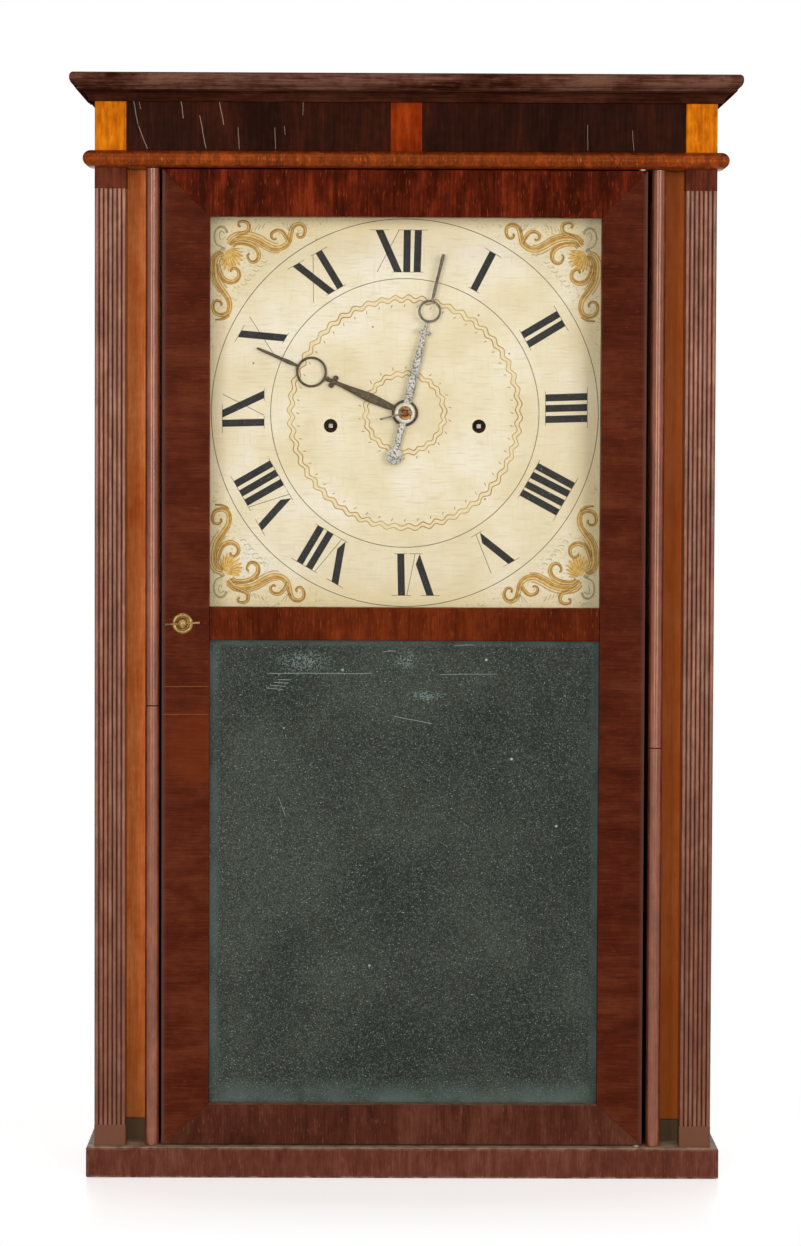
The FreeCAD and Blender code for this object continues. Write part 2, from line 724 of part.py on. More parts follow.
def motion_work(pin):
    """The cannon, minute wheel and hour wheel that turn the hands twelve to one."""
    leaves = pinion(centre, minute_wheel_at, motion_y + leaf_overlap, motion_thickness - 2 * leaf_overlap,
                    cannon_leaves, motion_module)
    cannon = fused(leaves, arbor(centre, cannon_radius, minute_hand_y, motion_y + motion_thickness))
    bore = arbor(centre, arbor_radius, arbor_end_y, y_back)
    save("cannon_pinion", cannon.cut(bore))
    hour = wheel(centre, minute_wheel_at, hour_wheel_y, motion_thickness, hour_wheel_teeth, motion_module,
                 arbor_radius)
    pipe = arbor(centre, hour_pipe_radius, hour_hand_y, hour_wheel_y)
    hour = fused(hour, pipe).cut(arbor(centre, cannon_radius + running_gap, hour_hand_y, y_front_plate))
    save("hour_wheel", hour)
    big = wheel(minute_wheel_at, centre, motion_y, motion_thickness, minute_wheel_teeth, motion_module,
                pivot_radius)
    small = gear(minute_wheel_at, hour_wheel_y - leaf_overlap, motion_y, minute_leaves, motion_module,
                 pinion_leaf, bearing(minute_wheel_at, centre) + 180 / minute_leaves)
    stud_bore = arbor(minute_wheel_at, pivot_radius + running_gap, hour_wheel_y - leaf_overlap, y_front_plate)
    save("minute_wheel", fused(big, small).cut(stud_bore))
    stem = arbor(centre, arbor_radius, arbor_end_y, y_inner_front + end_shake)
    save("centre_wheel", *train_arbor(centre, third_at, time_drum_at, centre_y, centre_module,
                                      great_y, great_thickness, great_module, stem, pin))


def train_arbor(at, drives, driver, wheel_y, module, pinion_y, pinion_width, pinion_module,
                stem=None, pin=None):
    """A wheel pressed on an arbor whose own leaves mesh with the wheel before it in the train."""
    shaft = fused(pivoted(at, arbor_radius),
                  pinion(at, driver, pinion_y, pinion_width, pinion_leaves, pinion_module))
    if stem:
        shaft = fused(shaft, stem).cut(pin)
    return wheel(at, drives, wheel_y, wheel_thickness, train_teeth, module, arbor_radius), shaft


def escapement():
    """The escape wheel with its raked teeth, and the verge whose two pallets straddle it."""
    pitch = 360 / escape_teeth
    hub = (escape_at[0], centre_z + escape_at[1])
    outline = []
    for i in range(escape_teeth):
        root = escape_radius - escape_tooth_depth
        for radius, share in ((root, 0), (escape_radius, 0.1), (escape_radius, 0.22)):
            outline.append(polar(hub, radius, pitch * (i + share)))
    disc = prism(outline, escape_y, escape_y + wheel_thickness)
    band = [arbor(escape_at, r, escape_y, escape_y + wheel_thickness)
            for r in (0.68 * escape_radius, 0.3 * escape_radius, arbor_radius)]
    arm = 0.07 * escape_radius
    spokes = [box(hub[0] - escape_radius, hub[0] + escape_radius, escape_y, escape_y + wheel_thickness,
                  hub[1] - arm, hub[1] + arm),
              box(hub[0] - arm, hub[0] + arm, escape_y, escape_y + wheel_thickness,
                  hub[1] - escape_radius, hub[1] + escape_radius)]
    crossings = band[0].cut(band[1]).cut(spokes)
    shaft = fused(pivoted(escape_at, arbor_radius),
                  pinion(escape_at, third_at, third_y, wheel_thickness, pinion_leaves, third_module))
    save("escape_wheel", disc.cut(crossings).cut(band[2]), shaft)

    reach = math.dist(verge_at, escape_at)
    swing = math.radians(pendulum_swing) * escape_radius * math.tan(math.radians(pallet_half_angle))
    tip_x, tip_z = polar((0, -reach), escape_radius + swing + clear_gap, 90 - pallet_half_angle)
    half = [(0, 5.5), (0.4 * tip_x, 5.0), (0.9 * tip_x, -0.15 * tip_x), (1.16 * tip_x, 0.73 * tip_z),
            (tip_x, tip_z), (0.77 * tip_x, 0.62 * tip_z), (0.35 * tip_x, 0.26 * tip_z), (0, 0.25 * tip_z)]
    both = half + [(-x, z) for x, z in half[-2:0:-1]]
    anchor = prism([(verge_at[0] + x, centre_z + verge_at[1] + z) for x, z in both],
                   escape_y, escape_y + wheel_thickness)
    y_eye = y_front_plate - 5.0
    shaft = fused(pivoted(verge_at, arbor_radius), arbor(verge_at, pivot_radius, y_eye, y_inner_front))
    x, z = verge_at[0], centre_z + verge_at[1]
    eye = arbor(verge_at, 3.2, y_eye, y_eye + 2.5).cut(shaft)
    stem = box(x - 1.0, x + 1.0, y_eye, y_eye + 2.5, z - crutch_length, z - 2.0)
    fork = box(x - rod_radius - 2.0, x + rod_radius + 2.0, rod_y - 2.5, y_eye + 2.5,
               z - crutch_length, z - crutch_length + 3.0)
    slot = box(x - rod_radius - clear_gap, x + rod_radius + clear_gap,
               rod_y - 3.0, rod_y + rod_radius + clear_gap,
               z - crutch_length, z - crutch_length + 3.0)
    save("verge", anchor.cut(shaft), shaft, fused(eye, stem, fork).cut(slot))


def pendulum():
    """A wire rod on a flat suspension spring, with a lens-shaped bob and its rating nut."""
    x, z = verge_at[0], centre_z + verge_at[1]
    leaf, width = spring_thickness / 2, spring_width / 2
    rod_top = z - spring_drop
    spring = box(x - leaf, x + leaf, rod_y - width, rod_y + width, rod_top - spring_grip, z + spring_rise)
    bob_z = z - pendulum_length
    nut_low = bob_z - bob_radius - nut_height
    wire = rod(V(x, rod_y, nut_low - thread_length), V(x, rod_y, rod_top), rod_radius)
    half = ferrule_width / 2
    ferrule = box(x - half, x + half, rod_y - half, rod_y + half, rod_top - ferrule_length, rod_top)
    save("pendulum_rod", fused(wire, ferrule).cut(spring), spring)
    sphere = (bob_radius ** 2 + bob_half_thickness ** 2) / (2 * bob_half_thickness)
    shift = sphere - bob_half_thickness
    lens = Part.makeSphere(sphere, V(x, rod_y + shift, bob_z)).common(
        Part.makeSphere(sphere, V(x, rod_y - shift, bob_z)))
    nut = rod(V(x, rod_y, nut_low), V(x, rod_y, bob_z - bob_radius + rod_radius), nut_radius)
    save("pendulum_bob", lens.cut(wire), nut.cut([wire, lens]))


def movement_plates():
    """Two wooden plates held apart by four pillars, with the pendulum cock and the minute wheel's stud."""
    half = plate_width / 2
    z0, z1 = centre_z - plate_bottom, centre_z + plate_top
    wheels = (centre, third_at, escape_at, verge_at, pin_wheel_at, fly_at, hammer_at)
    corners = [(sx * (half - pillar_inset), z) for sx in (-1, 1)
               for z in (plate_top - pillar_inset, pillar_inset - plate_bottom)]
    drums = (time_drum_at, strike_drum_at)
    for name, y, drum_hole in (("front_plate", y_front_plate, winding_arbor_radius),
                               ("back_plate", y_inner_back, drum_pivot_radius)):
        far = y + plate_thickness
        holes = [arbor(at, pivot_radius + running_gap, y, far) for at in wheels if at != centre]
        holes += [arbor(at, drum_hole + running_gap, y, far) for at in drums]
        holes += [arbor(at, pillar_radius / 2, y, far) for at in corners]
        centre_hole = arbor_radius if name == "front_plate" else pivot_radius
        holes.append(arbor(centre, centre_hole + running_gap, y, far))
        plate = box(-half, half, y, far, z0, z1).cut(holes)
        if name == "front_plate":
            stud = arbor(minute_wheel_at, pivot_radius, hour_wheel_y - 1.5, y)
            save(name, plate, stud)
        else:
            save(name, plate)
    pillars = [fused(arbor(at, pillar_radius, y_inner_front, y_inner_back),
                     arbor(at, pillar_radius / 2, y_front_plate, y_plates_back)) for at in corners]
    save("plate_pillars", *pillars)
    x, z = verge_at[0], centre_z + verge_at[1]
    y_tip = rod_y - spring_width / 2 - 0.2
    cock = box(x - 9.0, x + 9.0, y_tip, y_front_plate, z - 2.0, z + 9.0)
    tunnel = box(x - 4.5, x + 4.5, rod_y + spring_width / 2 + 0.2, y_front_plate, z - 2.0, z + 5.0)
    slit = box(x - spring_thickness / 2 - clear_gap, x + spring_thickness / 2 + clear_gap, y_tip,
               rod_y + spring_width / 2 + 0.2, z - 2.0, z + 9.0)
    save("pendulum_cock", cock.cut([tunnel, slit]))


def winding(side, at, towards, teeth, module):
    """A great wheel that turns on a winding arbor, and the cord drum that is fast on that arbor."""
    disc = wheel(at, towards, great_y, great_thickness, teeth, module, winding_arbor_radius + running_gap)
    save(side + "_great_wheel", disc)
    end_y = y_dial_back + square_setback
    barrel = arbor(at, drum_radius, drum_y, drum_y + drum_length)
    flanges = [arbor(at, drum_flange, y, y + drum_flange_thickness)
               for y in (drum_y, drum_y + drum_length - drum_flange_thickness)]
    y_square = y_front_plate - square_length / 2
    shaft = fused(arbor(at, winding_arbor_radius, y_front_plate, y_inner_back - end_shake),
                  arbor(at, drum_pivot_radius, y_square, y_plates_back))
    x, z = at[0], centre_z + at[1]
    half = winding_square / 2
    square = box(x - half, x + half, end_y, y_square, z - half, z + half)
    shaft = fused(shaft, square)
    save(side + "_drum", fused(barrel, *flanges).cut(shaft), shaft)


def strike_work():
    """The pin wheel that trips the hammer, the fly that slows it, the hammer and the bell."""
    disc = wheel(pin_wheel_at, fly_at, pin_wheel_y, wheel_thickness, pin_wheel_teeth, pin_wheel_module,
                 arbor_radius)
    pin_circle = 0.68 * pin_wheel_module * pin_wheel_teeth / 2
    spots = [polar(pin_wheel_at, pin_circle, 360 * i / hammer_pins) for i in range(hammer_pins)]
    pins = [arbor(at, hammer_pin_radius, pin_wheel_y - pin_reach, pin_wheel_y) for at in spots]
    shaft = fused(pivoted(pin_wheel_at, arbor_radius),
                  pinion(pin_wheel_at, strike_drum_at, great_y, great_thickness, strike_pinion_leaves,
                         strike_great_module))
    save("pin_wheel", fused(disc, *pins), shaft)
    shaft = fused(pivoted(fly_at, arbor_radius),
                  pinion(fly_at, pin_wheel_at, pin_wheel_y, wheel_thickness, pinion_leaves, pin_wheel_module))
    x, z = fly_at[0], centre_z + fly_at[1]
    half = fly_thickness / 2
    vane = box(x - fly_radius, x + fly_radius, fly_y, fly_y + fly_length, z - half, z + half)
    collar = arbor(fly_at, 2 * arbor_radius, fly_y, fly_y + fly_length)
    save("fly", fused(collar, vane).cut(shaft), shaft)

    x, z = hammer_at[0], centre_z + hammer_at[1]
    shaft = pivoted(hammer_at, arbor_radius)
    aim = V(pin_wheel_at[0] - hammer_at[0], 0, pin_wheel_at[1] - hammer_at[1])
    tail_length = aim.Length - pin_circle - hammer_pin_radius - tail_gap
    aim.normalize()
    hub = V(x, hammer_y, z)
    tail = rod(hub, hub + aim * tail_length, hammer_wire_radius)
    face = bell_at[0] - bell_radius - hammer_gap
    head_z = centre_z + bell_at[1]
    strike_face = V(face, hammer_head_y, head_z)
    head = rod(strike_face - V(hammer_head_length, 0, 0), strike_face, hammer_head_radius)
    shank = rod(V(x, hammer_head_y, z), strike_face - V(hammer_head_length / 2, 0, 0), hammer_wire_radius)
    save("hammer", fused(shaft, tail), fused(head, shank).cut(shaft))

    crown = V(bell_at[0], y_inner_back - bell_setback, centre_z + bell_at[1])
    outer = [(bell_radius * math.cos(math.radians(a)), bell_depth * (1 - math.sin(math.radians(a))))
             for a in range(0, 90, 15)]
    inner = [(r - bell_wall, d + 0.5 * bell_wall) for r, d in outer]
    dome = turned([(0, 0)] + outer[::-1] + inner + [(0, bell_wall)], crown, V(0, -1, 0))
    seat = crown + V(0, -bell_wall, 0)
    nut_end = seat + V(0, -bell_post_radius, 0)
    board = V(crown.x, y_back_board, crown.z)
    post = fused(rod(nut_end, board, 0.6 * bell_post_radius), rod(crown, board, bell_post_radius))
    nut = rod(nut_end, seat, bell_post_radius)
    save("bell", dome.cut(post), fused(post, nut))


def weights():
    """The two cast weights in their side channels, and the pulleys above them under the cornice."""
    half_w, half_d = weight_width / 2, weight_depth / 2
    z0 = plinth_height + clear_gap
    block = box(weight_x - half_w, weight_x + half_w, weight_y - half_d, weight_y + half_d,
                z0, z0 + weight_height)
    top = [e for e in block.Edges if e.BoundBox.ZMin > z0 + weight_height - 0.01]
    hook = V(weight_x, weight_y, z0 + weight_height + weight_ring - 2 * weight_wire)
    corners = [(weight_ring + weight_wire * math.cos(math.radians(a)), weight_wire * math.sin(math.radians(a)))
               for a in range(0, 360, 60)]
    right = fused(block.makeChamfer(0.2 * weight_width, top), turned(corners, hook, V(0, 1, 0)))
    save("time_weight", right)
    save("strike_weight", mirrored(right))

    x = weight_x - pulley_radius + pulley_groove
    z = z_cornice - pulley_drop
    half = pulley_width / 2
    spot = V(x, weight_y, z)
    bore = pulley_axle + running_gap
    sheave = turned([(bore, -half), (pulley_radius, -half), (pulley_radius, -0.6 * half),
                     (pulley_radius - pulley_groove, -0.25 * half),
                     (pulley_radius - pulley_groove, 0.25 * half),
                     (pulley_radius, 0.6 * half), (pulley_radius, half), (bore, half)], spot, V(0, 1, 0))
    save("time_pulley", sheave)
    save("strike_pulley", mirrored(sheave))
    inner = half + clear_gap
    outer = inner + cheek_thickness
    axle = rod(spot + V(0, -outer, 0), spot + V(0, outer, 0), pulley_axle)
    cheeks = [box(x - cheek_width / 2, x + cheek_width / 2, weight_y + a, weight_y + b,
                  z - cheek_width / 2, z_cornice).cut(axle)
              for a, b in ((-outer, -inner), (inner, outer))]
    save("pulley_brackets", *cheeks, axle, *[mirrored(s) for s in cheeks + [axle]])


os.makedirs("parts", exist_ok=True)
plinth()
case_boards()
pilasters()
recesses()
jambs()
colonettes()
astragal()
frieze()
cornice()
door_frame()
hinge()
door_glass()
latch()
dial()
motion_work(hands())
save("third_wheel", *train_arbor(third_at, escape_at, centre, third_y, third_module,
                                 centre_y, wheel_thickness, centre_module))
escapement()
pendulum()
movement_plates()
winding("time", time_drum_at, centre, great_teeth, great_module)
winding("strike", strike_drum_at, pin_wheel_at, strike_great_teeth, strike_great_module)
strike_work()
weights()
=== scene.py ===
"""Looks of a column shelf clock: veneered case, painted dial, pierced hands and old mirror, on white."""

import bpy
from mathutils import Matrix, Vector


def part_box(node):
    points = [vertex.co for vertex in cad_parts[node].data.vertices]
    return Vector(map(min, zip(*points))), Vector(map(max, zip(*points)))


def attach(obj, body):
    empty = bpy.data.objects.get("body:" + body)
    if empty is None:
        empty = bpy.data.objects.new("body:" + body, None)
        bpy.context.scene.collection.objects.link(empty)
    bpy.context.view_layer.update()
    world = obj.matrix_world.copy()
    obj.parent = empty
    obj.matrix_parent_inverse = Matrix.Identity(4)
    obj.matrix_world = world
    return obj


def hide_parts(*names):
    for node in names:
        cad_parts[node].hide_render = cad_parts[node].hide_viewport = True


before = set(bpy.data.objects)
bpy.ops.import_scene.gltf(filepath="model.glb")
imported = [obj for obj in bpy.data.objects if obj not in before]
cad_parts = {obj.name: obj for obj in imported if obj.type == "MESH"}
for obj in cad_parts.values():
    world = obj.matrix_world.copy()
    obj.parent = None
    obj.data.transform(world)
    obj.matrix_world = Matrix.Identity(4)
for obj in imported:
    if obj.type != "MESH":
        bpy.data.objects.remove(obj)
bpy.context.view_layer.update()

import math

import bmesh
import bpy
import numpy as np
from mathutils import Matrix, Vector

bl_info = {
    "name": "Column Shelf Clock",
    "version": (1, 0, 0),
    "blender": (4, 5, 0),
    "location": "View3D > Sidebar > Clock",
    "description": "Dresses the packed clock with its mouldings, door, dial, hands and finishes",
    "category": "Object",
}

MM = 0.001
# Small distances in millimetres: paint sunk into the board, and hairlines between blocks and at mitres
PAINT_SINK = 0.03
BLOCK_GAP = 0.1
MITRE_GAP = 0.12
# The clock faces along this direction
FORWARD = (0, -1, 0)


# Shapes, all in millimetres

def span(node):
    """Lowest and highest corner of a CAD node, in millimetres."""
    low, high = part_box(node)
    return np.array(low) / MM, np.array(high) / MM


def lofted(rings, looped=False):
    """Rings of equal count joined by quads: points j and j + 1 of ring i meet those of ring i + 1.

    The two end rings are closed by a face each, or the last ring meets the first when looped.
    """
    rings = np.asarray(rings, float)
    count, around = rings.shape[:2]
    runs = count if looped else count - 1
    i, j = np.meshgrid(np.arange(runs), np.arange(around), indexing="ij")
    k = (j + 1) % around
    n = (i + 1) % count
    quads = np.stack([i * around + j, i * around + k, n * around + k, n * around + j], axis=-1)
    faces = quads.reshape(-1, 4).tolist()
    if not looped:
        faces.append(list(range(around))[::-1])
        faces.append(list(range((count - 1) * around, count * around)))
    return rings.reshape(-1, 3), faces


def plan(x0, x1, y0, y1, corner):
    """A board seen from above: square back corners, and quarter circles of a radius at the front corners."""
    turn = np.linspace(0, np.pi / 2, 5)
    left = np.column_stack([x0 + corner * (1 - np.cos(turn)), y0 + corner * (1 - np.sin(turn))])
    right = np.column_stack([x1 - corner * (1 - np.sin(turn)), y0 + corner * (1 - np.cos(turn))])
    return np.vstack([[(x0, y1)], left, right, [(x1, y1)]])


def moulded_slab(profile, low, high, corner):
    """A board built up a profile of (inset, height): each plan is drawn in by its inset at front and ends."""
    rings = [np.column_stack([outline, np.full(len(outline), height)])
             for inset, height in profile
             for outline in [plan(low[0] + inset, high[0] - inset, low[1] + inset, high[1], corner)]]
    return lofted(rings)


def face_board(low, high, ease):
    """A block with eased front edges: rectangles in depth order, drawn in by a quarter circle in front."""
    turn = np.linspace(0, np.pi / 2, 4)
    inset = np.append(ease * (1 - np.sin(turn)), 0)
    depth = np.append(low[1] + ease * (1 - np.cos(turn)), high[1])
    x = np.stack([low[0] + inset, high[0] - inset, high[0] - inset, low[0] + inset], axis=1)
    z = np.stack([low[2] + inset, low[2] + inset, high[2] - inset, high[2] - inset], axis=1)
    return lofted(np.stack([x, np.repeat(depth[:, None], 4, axis=1), z], axis=-1))


def wrapped_moulding(profile, half, front, back):
    """A closed profile of (overhang, height) carried round three sides of the case, mitred at the corners."""
    out, up = np.asarray(profile, float).T
    level = np.ones_like(out)
    left, right = -half - out, half + out
    rings = [(left, back * level, up), (left, front - out, up), (right, front - out, up),
             (right, back * level, up)]
    return lofted([np.column_stack(ring) for ring in rings])


def turned(profile, at, axis, sides=40):
    """A profile of (radius, distance) spun about an axis through a point, its two ends closed."""
    radius, along = np.asarray(profile, float).T
    axis = np.asarray(axis, float)
    side = np.array([1.0, 0.0, 0.0]) if abs(axis[0]) < 0.5 else np.array([0.0, 1.0, 0.0])
    other = np.cross(axis, side)
    turn = np.linspace(0, 2 * np.pi, sides, endpoint=False)
    circle = np.cos(turn)[:, None] * side + np.sin(turn)[:, None] * other
    return lofted(np.asarray(at) + along[:, None, None] * axis + radius[:, None, None] * circle)


def smooth(points, steps=10):
    """A curve through control points: each span is the cubic of its own ends and their two neighbours."""
    p = np.asarray(points, float)
    ends = np.vstack([2 * p[0] - p[1], p, 2 * p[-1] - p[-2]])
    a, b, c, d = ends[:-3, None], ends[1:-2, None], ends[2:-1, None], ends[3:, None]
    t = np.linspace(0, 1, steps, endpoint=False)[None, :, None]
    square, cube = 2 * a - 5 * b + 4 * c - d, 3 * b - a - 3 * c + d
    curve = 0.5 * (2 * b + (c - a) * t + square * t ** 2 + cube * t ** 3)
    return np.vstack([curve.reshape(-1, p.shape[1]), p[-1:]])


def sideways(path, looped=False):
    """Unit normals of a flat path, from the difference of each point's neighbours."""
    if looped:
        run = np.roll(path, -1, axis=0) - np.roll(path, 1, axis=0)
    else:
        run = np.gradient(path, axis=0)
    run /= np.maximum(np.linalg.norm(run, axis=1, keepdims=True), 1e-9)
    return np.column_stack([-run[:, 1], run[:, 0]])


def brush_line(path, widths, lift, face, looped=False):
    """A line of paint on the dial: a low flat-topped section along a path of (x, z) and its widths."""
    path = np.asarray(path, float)
    half = np.broadcast_to(np.asarray(widths, float) / 2, len(path))[:, None, None]
    across = np.array([-1.0, -0.7, 0.7, 1.0])[None, :, None]
    spread = path[:, None, :] + half * across * sideways(path, looped)[:, None, :]
    depth = np.broadcast_to(face + np.array([PAINT_SINK, -lift, -lift, PAINT_SINK]), spread.shape[:2])
    return lofted(np.stack([spread[..., 0], depth, spread[..., 1]], axis=-1), looped)


def add_piece(name, shells, finish, body, slot, *nodes, crease=40):
    """Join closed shells into one named mesh, turn its faces outwards and put it on a body of the clock."""
    counts = np.cumsum([0] + [len(points) for points, _ in shells])
    faces = [[corner + start for corner in face]
             for start, (_, ring) in zip(counts.tolist(), shells) for face in ring]
    mesh = bpy.data.meshes.new(name)
    mesh.from_pydata((np.concatenate([points for points, _ in shells]) * MM).tolist(), [], faces)
    work = bmesh.new()
    work.from_mesh(mesh)
    bmesh.ops.recalc_face_normals(work, faces=work.faces)
    work.to_mesh(mesh)
    work.free()
    mesh.shade_smooth()
    mesh.set_sharp_from_angle(angle=math.radians(crease))
    piece = bpy.data.objects.new(name, mesh)
    bpy.context.scene.collection.objects.link(piece)
    mesh.materials.append(finish)
    piece.modifiers.new("Flat faces stay flat", "WEIGHTED_NORMAL").keep_sharp = True
    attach(piece, body)
    if nodes:
        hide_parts(*nodes)
    return piece


def dress(finish, *nodes):
    """Give CAD nodes a finish through their material slots."""
    for name in nodes:
        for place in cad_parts[name].material_slots:
            place.material = finish


# Finishes

def linear(colour):
    """Linear RGBA of an sRGB hex colour, or of a colour setting, which is linear already."""
    if not isinstance(colour, str):
        return (*colour, 1.0)
    srgb = np.array([int(colour[i:i + 2], 16) for i in (1, 3, 5)]) / 255
    value = np.where(srgb <= 0.04045, srgb / 12.92, ((srgb + 0.055) / 1.055) ** 2.4)
    return (*value.tolist(), 1.0)


def feed(tree, node, inputs):
    """Give inputs of a node their values, or links from other nodes."""
    for key, value in inputs.items():
        if isinstance(value, bpy.types.NodeSocket):
            tree.links.new(value, node.inputs[key])
        else:
            node.inputs[key].default_value = value


def add(tree, kind, inputs=None, stops=None, **settings):
    """Add a shader node with its settings, input values or links, and its ramp's colours from low to high."""
    node = tree.nodes.new("ShaderNode" + kind)
    for key, value in settings.items():
        setattr(node, key, value)
    feed(tree, node, inputs or {})
    if stops:
        ramp = node.color_ramp.elements
        ramp[0].position, ramp[1].position = stops[0][0], stops[-1][0]
        for place, _ in stops[1:-1]:
            ramp.new(place)
        for element, (_, colour) in zip(ramp, stops):
            element.color = linear(colour)
    return node


def new_finish(name):
    """An empty material with its node tree, its shader and its object coordinates."""
    material = bpy.data.materials.new(name)
    material.use_nodes = True
    tree = material.node_tree
    return material, tree, tree.nodes["Principled BSDF"], add(tree, "TexCoord").outputs["Object"]


def grain_noise(tree, coords, size, detail=2.0, distortion=0.0):
    """Noise whose cells have a size in millimetres along X, Y and Z."""
    place = add(tree, "Mapping", {"Vector": coords,
                                  "Scale": [1 / (length * MM) for length in size]}).outputs[0]
    return add(tree, "TexNoise", {"Vector": place, "Scale": 1.0, "Detail": detail,
                                  "Distortion": distortion}).outputs["Fac"]


def thin_mark(tree, coords, start, end, width):
    """Share of a scratch at each point: a line between two (x, z) places in mm, wandering a little."""
    first = np.array([start[0], 0.0, start[1]]) * MM
    reach = np.array([end[0], 0.0, end[1]]) * MM - first
    length = np.linalg.norm(reach)
    across = np.array([reach[2], 0.0, -reach[0]]) / length / (width * MM)
    off = add(tree, "VectorMath", {0: coords, 1: first.tolist()}, operation="SUBTRACT").outputs[0]
    run = add(tree, "VectorMath", {0: off, 1: (reach / length ** 2).tolist()},
              operation="DOT_PRODUCT").outputs["Value"]
    away = add(tree, "VectorMath", {0: off, 1: across.tolist()}, operation="DOT_PRODUCT").outputs["Value"]
    wander = add(tree, "MapRange", {"Value": grain_noise(tree, coords, (12.0, 12.0, 12.0)), "To Min": -1.5,
                                    "To Max": 1.5}).outputs[0]
    away = add(tree, "Math", {0: away, 1: wander}, operation="ADD").outputs[0]
    away = add(tree, "Math", {0: away}, operation="ABSOLUTE").outputs[0]
    thin = add(tree, "MapRange", {"Value": away, "From Min": 0.8, "From Max": 0.3}).outputs[0]
    middle = add(tree, "Math", {0: run, 1: 0.5}, operation="SUBTRACT").outputs[0]
    middle = add(tree, "Math", {0: middle}, operation="ABSOLUTE").outputs[0]
    inside = add(tree, "MapRange", {"Value": middle, "From Min": 0.5, "From Max": 0.46}).outputs[0]
    return add(tree, "Math", {0: thin, 1: inside}, operation="MULTIPLY").outputs[0]


def polished_wood(name, dark, mid, light, grain="Z", fibre=1.4, figure=15.0, contrast=1.0, gloss=0.24,
                  coat=0.0, shine=0.03, tint="#ffffff", fleck=None, worn=None, worn_width=1.4, dust_and_painted_light=None,
                  marks=(), mark_colour="#8a7464", stains=(), fades=()):
    """Veneered or solid wood under old shellac: fibres, figure and slow tone along one grain axis.

    Fibres, pores and flecks are drawn about a pixel wide, coarser than in real wood, so that they show.
    A stain is a round patch: (x, z, radius, colour, share).
    A fade lets a colour in along one axis: (axis, where it starts, where it is full, colour, share).
    """
    material, tree, shader, coords = new_finish(name)
    axis = "XYZ".index(grain)

    def along(width, length):
        return [length if i == axis else width for i in range(3)]
    fibre_length, figure_length = 20 * fibre, 3.5 * figure
    tone_size, patch_size = 90.0, 7.0
    pore_width, pore_length = 1.0, 8.0
    fine = grain_noise(tree, coords, along(fibre, fibre_length), 3.0)
    bands = grain_noise(tree, coords, along(figure, figure_length), 3.0, 0.8)
    tone = grain_noise(tree, coords, (tone_size, tone_size, tone_size))
    patchy = grain_noise(tree, coords, (patch_size, patch_size, patch_size), 5.0)
    level = 0.0
    for pattern, share in ((fine, 0.24), (bands, 0.38), (tone, 0.24), (patchy, 0.14)):
        level = add(tree, "Math", {0: pattern, 1: share, 2: level}, operation="MULTIPLY_ADD").outputs[0]
    reach = 0.1 / contrast
    wood = add(tree, "ValToRGB", {"Fac": level},
               stops=[(0.5 - reach, dark), (0.5, mid), (0.5 + reach, light)]).outputs[0]
    dashes = grain_noise(tree, coords, along(pore_width, pore_length), 1.0)
    pores = add(tree, "MapRange", {"Value": dashes, "From Min": 0.6, "From Max": 0.72,
                                   "To Max": 0.4}).outputs[0]
    layers = [(pores, dark)]
    if fleck:
        spark = add(tree, "MapRange", {"Value": dashes, "From Min": 0.36, "From Max": 0.26,
                                       "To Max": 0.6}).outputs[0]
        layers.append((spark, fleck))
    normal = add(tree, "NewGeometry").outputs["Normal"]
    if worn:
        rounded = add(tree, "Bevel", {"Radius": worn_width * MM}, samples=4).outputs[0]
        facing = add(tree, "VectorMath", {0: rounded, 1: normal}, operation="DOT_PRODUCT").outputs["Value"]
        edge = add(tree, "MapRange", {"Value": facing, "From Min": 0.995, "From Max": 0.88}).outputs[0]
        broken = add(tree, "MapRange", {"Value": patchy, "From Min": 0.38, "From Max": 0.62}).outputs[0]
        rubbed = add(tree, "Math", {0: edge, 1: broken}, operation="MULTIPLY").outputs[0]
        layers.append((rubbed, worn))
    # Upward faces take a colour: dust, which on the plinth is also painted light on its top
    if dust_and_painted_light:
        upward = add(tree, "SeparateXYZ", {0: normal}).outputs["Z"]
        upward_share = add(tree, "MapRange", {"Value": upward, "From Min": 0.55, "From Max": 0.95}).outputs[0]
        uneven = add(tree, "MapRange", {"Value": patchy, "From Min": 0.3, "From Max": 0.6,
                                        "To Min": 0.35}).outputs[0]
        upward_share = add(tree, "Math", {0: upward_share, 1: uneven}, operation="MULTIPLY").outputs[0]
        layers.append((upward_share, dust_and_painted_light))
    layers += [(thin_mark(tree, coords, *mark), mark_colour) for mark in marks]
    for x, z, radius, colour, share in stains:
        flat = add(tree, "VectorMath", {0: coords, 1: (1, 0, 1)}, operation="MULTIPLY").outputs[0]
        away = add(tree, "VectorMath", {0: flat, 1: (x * MM, 0, z * MM)},
                   operation="DISTANCE").outputs["Value"]
        inside = add(tree, "MapRange", {"Value": away, "From Min": radius * MM,
                                        "From Max": 0.6 * radius * MM, "To Max": share}).outputs[0]
        layers.append((inside, colour))
    for side, start, end, colour, share in fades:
        place = add(tree, "SeparateXYZ", {0: coords}).outputs[side]
        amount = add(tree, "MapRange", {"Value": place, "From Min": start * MM, "From Max": end * MM,
                                        "To Max": share}).outputs[0]
        layers.append((amount, colour))
    for share, colour in layers:
        wood = add(tree, "Mix", {0: share, 6: wood, 7: linear(colour)}, data_type="RGBA").outputs[2]
    bump = add(tree, "Bump", {"Strength": 0.2, "Distance": 0.12 * MM, "Height": fine}).outputs[0]
    feed(tree, shader, {"Base Color": wood, "Normal": bump, "Roughness": gloss, "Specular IOR Level": shine,
                        "Specular Tint": linear(tint), "Coat Weight": coat, "Coat Roughness": 0.26,
                        "Coat IOR": 1.7})
    return material


